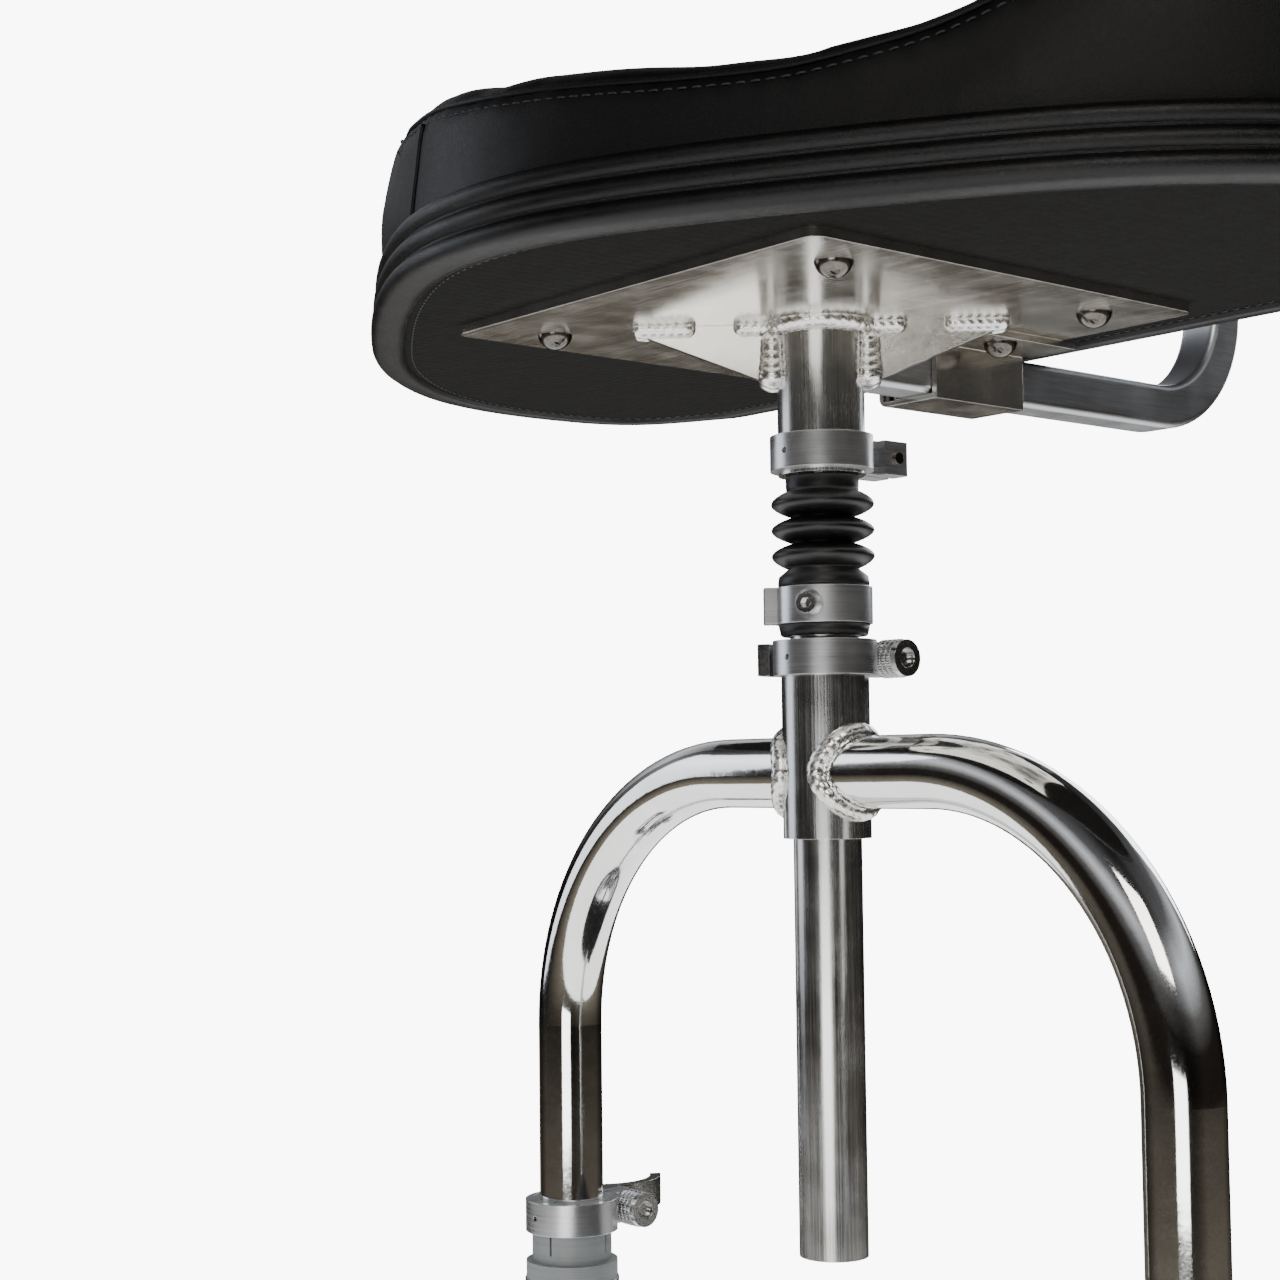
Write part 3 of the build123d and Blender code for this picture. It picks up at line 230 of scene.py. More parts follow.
# stretched vinyl: deep black, pebbled, with slow waves where the foam pushes
finish("pebbled_vinyl", "#030303", "#080707", (0.44, 0.58), 0.6, 0.01, cloud_mm=60, waves_mm=0.2, pebble_mm=1.1,
       sockets={"Specular IOR Level": 0.22})
# the band's vinyl: a little glossier, with smaller pebbles
finish("ridged_vinyl", "#040404", "#0a0909", (0.30, 0.46), 0.6, 0.01, cloud_mm=9, waves_mm=0.12, pebble_mm=0.8,
       sockets={"Specular IOR Level": 0.32})
# thread: a shade lighter than the vinyl, so that stitches show
finish("nylon_thread", "#0c0b0b", "#1d1c1b", (0.45, 0.60), 0.4, 0.02)
print(len(MATERIALS), "finishes")

# %% [markdown]
# ## Woven cover
# The cloth under the seat is a close black weave. Two waves at right angles stand for its threads, which are
# 0.45 mm apart. They are drawn 0.9 mm apart so that they show. Modelling each thread would cost far more and
# look the same from any distance at which the whole seat is seen.

# %% The cloth under the seat
def woven_cover():
    material = finish("woven_cover", "#040403", "#100e0c", (0.72, 0.88), 0.8, 0.02, cloud_mm=8,
                      sockets={"Specular IOR Level": 0.12})
    tree = material.node_tree
    shader = tree.nodes["Principled BSDF"]
    place = add(tree, "ShaderNodeTexCoord").outputs["Object"]
    wave = {"Vector": place, "Scale": per(0.9) / 20, "Distortion": 0.6}
    warp = add(tree, "ShaderNodeTexWave", wave, bands_direction="X").outputs["Fac"]
    weft = add(tree, "ShaderNodeTexWave", wave, bands_direction="Y").outputs["Fac"]
    weave = add(tree, "ShaderNodeMath", {0: warp, 1: weft}, operation="MULTIPLY").outputs[0]
    threads = add(tree, "ShaderNodeBump", {"Height": weave, "Distance": 0.12 * MM}).outputs[0]
    tree.links.new(threads, shader.inputs["Normal"])


woven_cover()
print("woven cover made")

# %% [markdown]
# ## Hard parts from CAD
# Machined and drawn parts are already true to shape in CAD, so only their surfaces are dressed. Each takes
# the finish that stands for its slot in the record, except one bright socket screw.

# %% Which finish each slot has
FINISH_OF_SLOT = {
    "satin_aluminium": "drawn_aluminium", "polished_aluminium": "buffed_aluminium",
    "collar_aluminium": "turned_aluminium", "plate_aluminium": "mill_plate", "rim_aluminium": "rim_extrusion",
    "crank_aluminium": "forged_crank", "grey_anodised": "anodised_aluminium", "bright_steel": "zinc_plate",
    "dark_steel": "black_nickel", "spring_steel": "spring_wire", "black_rubber": "bellows_rubber",
    "tyre_rubber": "worn_tyre_rubber", "sleeve_plastic": "turned_acetal", "black_plastic": "moulded_nylon",
    "seat_board": "woven_cover", "seat_trim": "ridged_vinyl", "seat_vinyl": "pebbled_vinyl"}


def dress_cad_nodes():
    for row in frame["record"]["subparts"]:
        mesh = frame["nodes"][row["node"]].data
        mesh.materials.clear()
        mesh.materials.append(MATERIALS[FINISH_OF_SLOT[row["material_slot"]]])
    # this one socket screw is bright, although its slot in the record is dark steel
    frame["nodes"]["bellows_clamp_screw"].data.materials[0] = MATERIALS["zinc_plate"]


dress_cad_nodes()
print("dressed", len(frame["nodes"]), "CAD nodes")

# %% [markdown]
# ## Mesh tools
# Every new piece is a skin through rings of points, so these few functions build them all. Curves with
# modifiers could make the plain tubes, but here a bead or a tread can change its radius along the way.

# %% A piece on a body
def new_piece(name, verts, faces, material, body):
    """Makes a smooth-shaded mesh object that rides on a CAD body."""
    mesh = bpy.data.meshes.new(name)
    mesh.from_pydata([tuple(v) for v in verts], [], faces)
    mesh.validate()
    mesh.polygons.foreach_set("use_smooth", [True] * len(mesh.polygons))
    mesh.materials.append(MATERIALS[material])
    obj = bpy.data.objects.new(name, mesh)
    bpy.context.scene.collection.objects.link(obj)
    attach(obj, body)
    return obj


# %% Skins through rings
def skin(rings, loop=False):
    """Points and faces of a surface through rings. loop joins the last ring to the first; otherwise the ends
    are capped."""
    count, size = len(rings), len(rings[0])
    verts = [point for ring in rings for point in ring]
    faces = []
    for i in range(count if loop else count - 1):
        a, b = i * size, (i + 1) % count * size
        for k in range(size):
            j = (k + 1) % size
            faces.append((a + k, a + j, b + j, b + k))
    if not loop:
        faces.append(tuple(range(size - 1, -1, -1)))
        faces.append(tuple(range((count - 1) * size, count * size)))
    return verts, faces


def join(*parts):
    """Several (points, faces) pairs as one."""
    verts, faces = [], []
    for points, corners in parts:
        start = len(verts)
        verts += points
        faces += [tuple(start + c for c in face) for face in corners]
    return verts, faces


print("skin and join ready")

# %% Spun shapes
SPIN_STEPS = 96


def lathe(profile, centre, steps=SPIN_STEPS):
    """Spins (radius, height) points about an upright axis through centre, and caps the ends."""
    rings = []
    for radius, height in profile:
        ring = []
        for k in range(steps):
            angle = TAU * k / steps
            offset = Vector((radius * math.cos(angle), radius * math.sin(angle), height))
            ring.append(Vector(centre) + offset)
        rings.append(ring)
    return skin(rings)


print("spun shapes have", SPIN_STEPS, "sides")

# %% Tubes along a line
def resample(points, step, closed=False):
    """Points at equal steps along a line through the given ones."""
    pts = np.array([tuple(p) for p in points], float)
    if closed:
        pts = np.vstack([pts, pts[:1]])
    lengths = np.linalg.norm(np.diff(pts, axis=0), axis=1)
    run = np.concatenate([[0], np.cumsum(lengths)])
    count = max(2, round(run[-1] / step))
    places = np.linspace(0, run[-1], count + 1)
    if closed:
        places = places[:-1]
    out = np.stack([np.interp(places, run, pts[:, k]) for k in range(3)], axis=1)
    return [Vector(p) for p in out], places, run[-1]


def frames(points, closed=False):
    """A (tangent, normal, side) triple at each point, turning as little as possible from one to the next."""
    count = len(points)
    normal = None
    result = []
    for i, point in enumerate(points):
        ahead = points[(i + 1) % count] if closed or i + 1 < count else point
        behind = points[i - 1] if closed or i else point
        tangent = (ahead - behind).normalized()
        if normal is None:
            normal = tangent.orthogonal()
        normal = (normal - tangent * normal.dot(tangent)).normalized()
        result.append((tangent, normal, tangent.cross(normal)))
    return result


def round_tube(points, radius, sides=8, closed=False):
    """A round tube along points, which are already close together."""
    rings = []
    for point, (_, normal, side) in zip(points, frames(points, closed)):
        turns = [TAU * k / sides for k in range(sides)]
        rings.append([point + normal * (radius * math.cos(a)) + side * (radius * math.sin(a)) for a in turns])
    return skin(rings, loop=closed)


print("tubes ready")

# %% [markdown]
# ## Weld beads
# A hand weld is a row of overlapping puddles. The bead is a round tube whose radius ripples, and the ripple
# lags at the bead's edges, so each puddle shows as a crescent. A bump pattern would leave the bead's outline
# smooth, so the ripple is in the mesh.

# %% One bead
WELD_PITCH = 3.6 * MM       # from one puddle to the next


def smooth_step(value, low, high):
    """0 up to low, 1 from high on, and a smooth climb between."""
    t = min(max((value - low) / (high - low), 0.0), 1.0)
    return t * t * (3 - 2 * t)


def weld_bead(points, radius, closed=False, drop=0.0):
    """Points and faces of one bead. drop swells its last puddle, as where the torch was held."""
    line, places, length = resample(points, WELD_PITCH / 9, closed)
    sides = 18
    rings = []
    for point, place, (_, normal, side) in zip(line, places, frames(line, closed)):
        ends = 1.0
        if not closed:
            nearest = min(place, length - place) / radius
            ends = math.sqrt(max(0.02, 1 - (1 - min(nearest, 1.0)) ** 2))
        swell = 1.0 + drop * smooth_step(place, length - 3 * radius, length - radius)
        ring = []
        for k in range(sides):
            angle = TAU * k / sides
            lag = 0.75 * radius * math.cos(angle) ** 2
            puddle = abs(math.cos(math.pi * (place + lag) / WELD_PITCH))
            reach = radius * ends * swell * (0.90 + 0.10 * math.sqrt(puddle))
            ring.append(point + normal * (reach * math.cos(angle)) + side * (reach * math.sin(angle)))
        rings.append(ring)
    return skin(rings, loop=closed)


print("a puddle every", round(WELD_PITCH / MM, 1), "mm")

# %% Beads on the fork
CROWN_BEAD_R = 3.9 * MM


def fork_welds():
    """The saddle-shaped beads where the arch's two halves meet the crown tube."""
    low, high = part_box("crown_tube")
    crown_r = (high.x - low.x) / 2
    low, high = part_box("left_fork_tube")
    tube_r = (high.y - low.y) / 2
    middle_z = high.z - tube_r
    for name, side in (("left", -1), ("right", 1)):
        saddle = []
        for k in range(96):
            angle = TAU * k / 96
            y, z = (tube_r + 1.2 * MM) * math.cos(angle), (tube_r + 1.2 * MM) * math.sin(angle)
            x = side * math.sqrt(max(0.0, (crown_r + 1.0 * MM) ** 2 - y * y))
            saddle.append((x, y, middle_z + z))
        verts, faces = weld_bead(saddle, CROWN_BEAD_R, closed=True)
        new_piece(f"{name}_crown_weld", verts, faces, "weld_metal", "fork")


fork_welds()
print("two crown beads made")

# %% Beads under the seat plate
SOCKET_BEAD_R, CORNER_BEAD_R, EDGE_BEAD_R = 4.2 * MM, 5.2 * MM, 3.8 * MM
HALF_GUSSET = 2.5 * MM


def seat_welds():
    """The beads round the socket tube's top and along the gussets."""
    low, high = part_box("seat_socket_tube")
    tube_r, plate_z = (high.x - low.x) / 2, high.z
    gusset_low, gusset_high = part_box("seat_gussets")
    reach = math.hypot(gusset_high.x, gusset_high.y)
    lean = math.atan2(gusset_high.y, gusset_high.x)
    ring = [((tube_r + 1.0 * MM) * math.cos(TAU * k / 90), (tube_r + 1.0 * MM) * math.sin(TAU * k / 90),
             plate_z - 1.0 * MM) for k in range(90)]
    beads = [weld_bead(ring, SOCKET_BEAD_R, closed=True)]
    for turn in (lean, lean + math.pi):
        out = Vector((math.cos(turn), math.sin(turn), 0))
        across = Vector((-math.sin(turn), math.cos(turn), 0))
        for side in (-1, 1):
            corner = out * (tube_r + 1.5 * MM) + across * side * (HALF_GUSSET + 1.8 * MM)
            top, foot = Vector((0, 0, plate_z - 3 * MM)), Vector((0, 0, gusset_low.z - 1.5 * MM))
            beads.append(weld_bead([corner + top, corner + foot], CORNER_BEAD_R, drop=0.18))
            for start, end in ((0.66, 1.0), (0.24, 0.46)):
                edge = across * side * (HALF_GUSSET + 0.6 * MM) + Vector((0, 0, plate_z - 1.0 * MM))
                line = [out * reach * start + edge, out * reach * end + edge]
                beads.append(weld_bead(line, EDGE_BEAD_R))
    verts, faces = join(*beads)
    new_piece("socket_welds", verts, faces, "weld_metal", "seat")


seat_welds()
print("socket and gusset beads made")

# %% [markdown]
# ## Bellows and spring
# The bellows is a rubber moulding. It is round, so it is spun from its section. Its cuff is gripped to the post,
# and the pleats and the cuff are two pieces here. The coil spring inside the post is a wire wound by a formula.

# %% The bellows' section
def bellows_profile(low_z, high_z):
    """(radius, height) of the pleats: narrow necks and rounded ridges, from the cuff up."""
    ridge, neck, pitch = 20.6 * MM, 12.2 * MM, 10.4 * MM
    first = low_z + 12.7 * MM
    points = [(18.0 * MM, low_z), (18.3 * MM, low_z + 1.5 * MM), (17.9 * MM, low_z + 4.4 * MM)]
    steps = 14
    for index in range(3):
        middle = first + index * pitch
        for k in range(steps + 1):
            t = -1 + 2 * k / steps
            bulge = max(0.0, math.cos(t * math.pi / 2)) ** 0.85
            foot = neck if index or t > 0 else 14.0 * MM
            foot = 14.4 * MM if index == 2 and t > 0 else foot
            points.append((foot + (ridge - foot) * bulge, middle + t * pitch / 2 * 0.98))
    points += [(14.6 * MM, high_z - 4.6 * MM), (14.7 * MM, high_z - 0.6 * MM), (14.2 * MM, high_z)]
    return points


def thick_lathe(profile, wall, steps=SPIN_STEPS):
    """A spun shell with an inside, from its outer profile."""
    inner = [(radius - wall, height) for radius, height in reversed(profile)]
    closed = profile + inner + profile[:1]
    verts, faces = lathe(closed, (0, 0, 0), steps=steps)
    faces = [f for f in faces if len(f) == 4]
    last = (len(closed) - 1) * steps
    faces = [tuple(c - last if c >= last else c for c in f) for f in faces]
    return verts[:last], faces


print(len(bellows_profile(0, 50 * MM)), "points in the bellows' section")

# %% The bellows
def suspension_travel():
    """How far the suspension sinks from rest."""
    return -min(j["range_m"][0] for j in frame["joints"] if j["name"] == "suspension")


def make_bellows():
    low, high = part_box("bellows_boot")
    clamp_low, clamp_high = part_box("bellows_clamp")
    verts, faces = thick_lathe(bellows_profile(clamp_high.z, high.z), 1.4 * MM)
    pleats = new_piece("bellows_pleats", verts, faces, "bellows_rubber", "post")
    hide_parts("bellows_boot")
    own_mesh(pleats)
    head_r = (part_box("post_head")[1].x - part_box("post_head")[0].x) / 2
    grip = 16.6 * MM
    cuff = [(head_r, low.z), (16.9 * MM, low.z), (17.4 * MM, low.z + 0.5 * MM), (18.3 * MM, low.z + 4.4 * MM),
            (grip, clamp_low.z + 0.1 * MM), (grip, clamp_high.z), (head_r, clamp_high.z)]
    verts, faces = lathe(cuff + cuff[:1], (0, 0, 0))
    last = len(cuff) * SPIN_STEPS
    faces = [tuple(c - last if c >= last else c for c in f) for f in faces if len(f) == 4]
    new_piece("bellows_cuff", verts[:last], faces, "bellows_rubber", "post")


make_bellows()
print("bellows made, sinking", round(suspension_travel() / MM), "mm")

# %% The spring
def make_spring():
    low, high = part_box("shock_spring")
    wire = 1.6 * MM
    coil_r = (high.x - low.x) / 2 - wire
    turns, steps = 11, 28
    height = high.z - low.z - 2 * wire
    line = []
    for k in range(turns * steps + 1):
        angle, t = TAU * k / steps, k / (turns * steps)
        line.append(Vector((coil_r * math.cos(angle), coil_r * math.sin(angle), low.z + wire + height * t)))
    verts, faces = round_tube(line, wire, sides=10)
    spring = new_piece("coil_spring", verts, faces, "spring_wire", "post")
    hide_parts("shock_spring")
    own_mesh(spring)


make_spring()
print("spring made")

# %% [markdown]
# ## Seat
# The cushion is a stuffed cover over foam: a closed form with the seat board's outline, lower in the middle
# than at the sides, blown up as cloth. It could be sculpted, but pressure gives the tight and slightly uneven
# skin of a filled cover, and a cap on how far a point may move keeps the outline. Then come its seams, its
# stitches and the ridged band round its foot.

# %% The seat board's outline
def board_outline(count):
    """Evenly spaced points round the seat board, and the outward direction at each."""
    flat = sorted({(round(v.co.x, 6), round(v.co.y, 6)) for v in frame["nodes"]["seat_board"].data.vertices})

    def half(points):
        """One half of the outline's convex hull."""
        chain = []
        for p in points:
            while len(chain) > 1:
                (ax, ay), (bx, by) = chain[-2], chain[-1]
                if (bx - ax) * (p[1] - ay) - (by - ay) * (p[0] - ax) > 0:
                    break
                chain.pop()
            chain.append(p)
        return chain[:-1]

    hull = half(flat) + half(flat[::-1])
    points, _, _ = resample([(x, y, 0) for x, y in hull], 1e-3, closed=True)
    points, _, _ = resample(points, len(points) * 1e-3 / count, closed=True)
    points = points[:count]
    outs = []
    for k in range(len(points)):
        along = (points[(k + 1) % len(points)] - points[k - 1]).normalized()
        outs.append(Vector((along.y, -along.x, 0)))
    return points, outs


OUTLINE, OUTWARD = board_outline(220)
print(len(OUTLINE), "points round the board")

# %% How thick the cushion is
SEAT_BASE_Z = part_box("seat_board")[1].z
SIDE_STEPS = (0.0, 73.0, 117.0, 155.0, 190.0, 222.0, 256.0)     # distance from the middle, in mm
SIDE_HEIGHTS = (52.0, 54.0, 58.0, 65.0, 82.0, 93.0, 98.0)        # how thick the cushion is there, in mm
FRONT_LEAN = 15.0           # the front rim stands this much higher at -X than in the middle, in mm


def seat_height(x, y):
    """The cushion's thickness over the board at a point: low in the middle, high at the sides."""
    level = float(np.interp(abs(x) / MM, SIDE_STEPS, SIDE_HEIGHTS))
    lean = -FRONT_LEAN * max(-1.0, min(1.0, x / (110 * MM))) * (1 - smooth_step(y, -60 * MM, 60 * MM))
    return (level + lean) * MM


print("mm thick in the middle and at a side:", round(seat_height(0, 0) / MM), round(seat_height(0.25, 0) / MM))

# %% The form before it is filled
EDGE_R = 11 * MM            # the rounding of the cushion's top edge


def cushion_rings(outline, outwards, base_z, height_of, edge_r, pull_in):
    """Rings up the cushion's side, over its rounded edge and in to its middle."""
    rings = []
    for k in range(9):
        t = k / 8
        belly = pull_in - 1.5 * MM * math.sin(math.pi * t)
        ring = []
        for p, out in zip(outline, outwards):
            top = height_of(p.x, p.y) - edge_r
            ring.append(p - out * belly + Vector((0, 0, base_z + top * t)))
        rings.append(ring)
    for k in range(1, 7):
        angle = math.pi / 2 * k / 6
        ring = []
        for p, out in zip(outline, outwards):
            top = height_of(p.x, p.y)
            inset = pull_in + edge_r * (1 - math.cos(angle))
            ring.append(p - out * inset + Vector((0, 0, base_z + top - edge_r + edge_r * math.sin(angle))))
        rings.append(ring)
    middle = sum(outline, Vector()) / len(outline)
    last = [Vector(p) for p in rings[-1]]
    for k in range(1, 13):
        t = k / 13
        ring = []
        for p in last:
            flat = Vector((p.x, p.y, 0)).lerp(middle, t)
            ring.append(Vector((flat.x, flat.y, base_z + height_of(flat.x, flat.y))))
        rings.append(ring)
    return rings


print("the edge's rounding is", round(EDGE_R / MM), "mm")

# %% Filling a form as cloth
CLOTH_FRAMES = 20


def evaluated_mesh(obj):
    """The object's mesh with its modifiers applied, as a new mesh."""
    graph = bpy.context.evaluated_depsgraph_get()
    return bpy.data.meshes.new_from_object(obj.evaluated_get(graph))


def coordinates(mesh):
    """A mesh's points as rows of x, y and z."""
    co = np.empty(len(mesh.vertices) * 3)
    mesh.vertices.foreach_get("co", co)
    return co.reshape(-1, 3)


def inflate(verts, faces, voxel, cap, still, pressure=4.0):
    """A closed form, remeshed evenly and blown up as cloth, as a mesh. still says which points stay put, and
    no point moves further than cap."""
    mesh = bpy.data.meshes.new("stuffing")
    mesh.from_pydata([tuple(v) for v in verts], [], faces)
    obj = bpy.data.objects.new("stuffing", mesh)
    bpy.context.scene.collection.objects.link(obj)
    remesh = obj.modifiers.new("remesh", "REMESH")
    remesh.mode = "VOXEL"
    remesh.voxel_size = voxel
    obj.data = evaluated_mesh(obj)
    obj.modifiers.clear()
    start = coordinates(obj.data)
    pinned = obj.vertex_groups.new(name="pinned")
    pinned.add([i for i, co in enumerate(start) if still(co)], 1.0, "ADD")
    cloth = obj.modifiers.new("cloth", "CLOTH")
    cloth.settings.quality = 5
    cloth.settings.mass = 0.4
    cloth.settings.tension_stiffness = 12
    cloth.settings.compression_stiffness = 12
    cloth.settings.bending_stiffness = 1.5
    cloth.settings.use_pressure = True
    cloth.settings.uniform_pressure_force = pressure
    cloth.settings.vertex_group_mass = "pinned"
    cloth.settings.effector_weights.gravity = 0
    for step in range(1, CLOTH_FRAMES + 1):
        bpy.context.scene.frame_set(step)
    moved = coordinates(evaluated_mesh(obj))
    shift = moved - start
    far = np.linalg.norm(shift, axis=1, keepdims=True)
    shift *= np.minimum(1.0, cap / np.maximum(far, 1e-9))
    obj.modifiers.clear()
    bpy.context.scene.frame_set(1)
    obj.data.vertices.foreach_set("co", (start + shift).ravel())
    result = obj.data
    bpy.data.objects.remove(obj)
    return result


def stuffed_piece(name, mesh):
    """A vinyl object, smoothed once more, from a filled mesh."""
    mesh.polygons.foreach_set("use_smooth", [True] * len(mesh.polygons))
    mesh.materials.append(MATERIALS["pebbled_vinyl"])
    mesh.name = name
    piece = bpy.data.objects.new(name, mesh)
    bpy.context.scene.collection.objects.link(piece)
    subdivide = piece.modifiers.new("subdivide", "SUBSURF")
    subdivide.levels = subdivide.render_levels = 1
    return piece


print("forms are filled over", CLOTH_FRAMES, "frames")

# %% Relaxing and creasing a cover
def smooth_mesh(mesh, rounds, factor=0.5):
    """Relaxes a mesh: each point moves towards the mean of its neighbours."""
    co = coordinates(mesh)
    edges = np.array([e.vertices[:] for e in mesh.edges])
    for _ in range(rounds):
        total = np.zeros_like(co)
        count = np.zeros(len(co))
        for a, b in ((0, 1), (1, 0)):
            np.add.at(total, edges[:, a], co[edges[:, b]])
            np.add.at(count, edges[:, a], 1)
        co += factor * (total / count[:, None] - co)
    mesh.vertices.foreach_set("co", co.ravel())


def surface_of(mesh):
    """A mesh's surface, for finding points on it."""
    return BVHTree.FromPolygons([v.co for v in mesh.vertices], [p.vertices[:] for p in mesh.polygons])


def crease_along(mesh, path, width, depth):
    """Pulls a mesh's surface in along a path, as a sewn seam does."""
    path_points = np.array([tuple(p) for p in path])
    co = coordinates(mesh)
    normals = np.empty(len(co) * 3)
    mesh.vertices.foreach_get("normal", normals)
    normals = normals.reshape(-1, 3)
    for i, p in enumerate(co):
        gap = np.linalg.norm(path_points - p, axis=1).min()
        if gap < width:
            co[i] = p - normals[i] * depth * (0.5 + 0.5 * math.cos(math.pi * gap / width))
    mesh.vertices.foreach_set("co", co.ravel())


print("covers can be relaxed and creased")

# %% Stitches and seams
def stitches(path, normals, length, gap, radius, lift):
    """Short thread loops laid along a path on a surface."""
    line, places, _ = resample(path, length + gap)
    parts = []
    run = np.concatenate([[0], np.cumsum([(b - a).length for a, b in zip(path, path[1:])])])
    ns = np.array([tuple(n) for n in normals])
    for i in range(len(line) - 1):
        a = line[i]
        b = line[i].lerp(line[i + 1], length / (length + gap))
        out = Vector([np.interp(places[i], run, ns[:, k]) for k in range(3)]).normalized()
        loop = []
        for k in range(6):
            t = k / 5
            loop.append(a.lerp(b, t) + out * (lift * math.sin(math.pi * t) - 0.25 * radius))
        parts.append(round_tube(loop, radius, sides=6))
    return join(*parts)


def seam_on(surface, height_above):
    """Points and normals on the cushion's side, round its outline at a height given for each point."""
    path, normals = [], []
    for p, out in zip(OUTLINE, OUTWARD):
        origin = p + out * 0.05 + Vector((0, 0, height_above(p)))
        hit, normal, _, _ = surface.ray_cast(origin, -out, 0.12)
        if hit is not None:
            path.append(hit)
            normals.append(normal)
    for _ in range(6):
        path = [(path[k - 1] + path[k] * 2 + path[(k + 1) % len(path)]) / 4 for k in range(len(path))]
    return path, normals


def below_top(drop):
    """The height that lies drop below the cushion's top, as a function of a point."""
    def height(p):
        return SEAT_BASE_Z + seat_height(p.x, p.y) - drop
    return height


print("stitches and seams ready")

# %% The cushion
SEAM_DROP, STITCH_DROP = 7 * MM, 11 * MM


def side_seam(surface):
    """The upright join in the cushion's side strip, beside the nose."""
    index = min(range(len(OUTLINE)), key=lambda k: abs(OUTLINE[k].x + 50 * MM) + 10 * max(0, OUTLINE[k].y))
    p, out = OUTLINE[index], OUTWARD[index]
    top = seat_height(p.x, p.y) - EDGE_R
    path = []
    for k in range(16):
        z = SEAT_BASE_Z + 8 * MM + (top - 8 * MM) * k / 15
        hit, normal, _, _ = surface.ray_cast(p + out * 0.05 + Vector((0, 0, z)), -out, 0.1)
        if hit is not None:
            path.append(hit + normal * 0.3 * MM)
    line, _, _ = resample(path, 2 * MM)
    verts, faces = round_tube(line, 0.9 * MM, sides=8)
    new_piece("cushion_side_seam", verts, faces, "pebbled_vinyl", "seat")


def make_cushion():
    rings = cushion_rings(OUTLINE, OUTWARD, SEAT_BASE_Z, seat_height, edge_r=EDGE_R, pull_in=-4.5 * MM)
    verts, faces = skin(rings)
    mesh = inflate(verts, faces, voxel=5.5 * MM, cap=4 * MM, still=lambda co: co[2] < SEAT_BASE_Z + 4 * MM)
    smooth_mesh(mesh, 6)
    surface = surface_of(mesh)
    seam, _ = seam_on(surface, below_top(SEAM_DROP))
    crease_along(mesh, seam[::2], 7 * MM, 1.2 * MM)
    cushion = stuffed_piece("cushion", mesh)
    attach(cushion, "seat")
    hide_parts("seat_cushion")
    surface = surface_of(mesh)
    seam, seam_normals = seam_on(surface, below_top(SEAM_DROP))
    welt = [p + n * 0.5 * MM for p, n in zip(seam, seam_normals)]
    welt, _, _ = resample(welt, 2.5 * MM, closed=True)
    verts, faces = round_tube(welt, 1.1 * MM, sides=8, closed=True)
    new_piece("cushion_welt", verts, faces, "pebbled_vinyl", "seat")
    row, row_normals = seam_on(surface, below_top(STITCH_DROP))
    row, row_normals = row + row[:1], row_normals + row_normals[:1]
    verts, faces = stitches(row, row_normals, length=3.4 * MM, gap=1.8 * MM, radius=0.42 * MM, lift=0.5 * MM)
    new_piece("cushion_stitches", verts, faces, "nylon_thread", "seat")
    side_seam(surface)


make_cushion()
print("cushion and its seams made")

# %% The ridged band
def make_trim():
    """The band round the seat's foot: three rounded ridges over the board's edge."""
    low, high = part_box("seat_trim")
    tall = high.z - low.z
    section = [(-1.5 * MM, 0.3 * MM), (2.0 * MM, 0.0)]
    ridges, per_ridge = 3, 9
    for index in range(ridges):
        for k in range(per_ridge):
            t = k / (per_ridge - 1)
            out = (9.2 + 3.0 * math.sin(math.pi * t) ** 0.7) * MM
            section.append((out - 0.9 * MM * index, (0.6 * MM + (tall - 1.4 * MM) * (index + t) / ridges)))
    section += [(2.0 * MM, tall - 0.2 * MM), (-1.5 * MM, tall - 0.6 * MM)]
    rings = []
    for p, out in zip(OUTLINE, OUTWARD):
        rings.append([p + out * (o + 0.1 * MM) + Vector((0, 0, low.z + z)) for o, z in section])
    verts, faces = skin(rings, loop=True)
    trim = new_piece("ridged_trim", verts, faces, "ridged_vinyl", "seat")
    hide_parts("seat_trim")
    hem = [p - out * 5 * MM + Vector((0, 0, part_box("seat_board")[0].z)) for p, out in zip(OUTLINE, OUTWARD)]
    downs = [Vector((0, 0, -1))] * len(hem)
    verts, faces = stitches(hem + hem[:1], downs + downs[:1], 3.0 * MM, 2.4 * MM, 0.4 * MM, 0.35 * MM)
    new_piece("hem_stitches", verts, faces, "nylon_thread", "seat")


make_trim()
print("band and hem stitches made")

# %% [markdown]
# ## Backrest pad
# A small pad of vinyl over foam with rounded corners. A block with bevelled edges would look cut rather than
# filled, so it is blown up in the same way as the seat.

# %% The backrest pad
def rounded_rectangle(half_width, half_height, corner, count=120):
    """Points round a rectangle with round corners, centred on the origin, as (x, z)."""
    points = []
    for index, (sx, sz) in enumerate(((1, 1), (-1, 1), (-1, -1), (1, -1))):
        for k in range(12):
            angle = math.pi / 2 * (index + k / 11)
            x = sx * (half_width - corner) + corner * math.cos(angle)
            z = sz * (half_height - corner) + corner * math.sin(angle)
            points.append((x, 0.0, z))
    line, _, _ = resample(points, 1e-3, closed=True)
    step = len(line) / count
    return [line[int(k * step)] for k in range(count)]


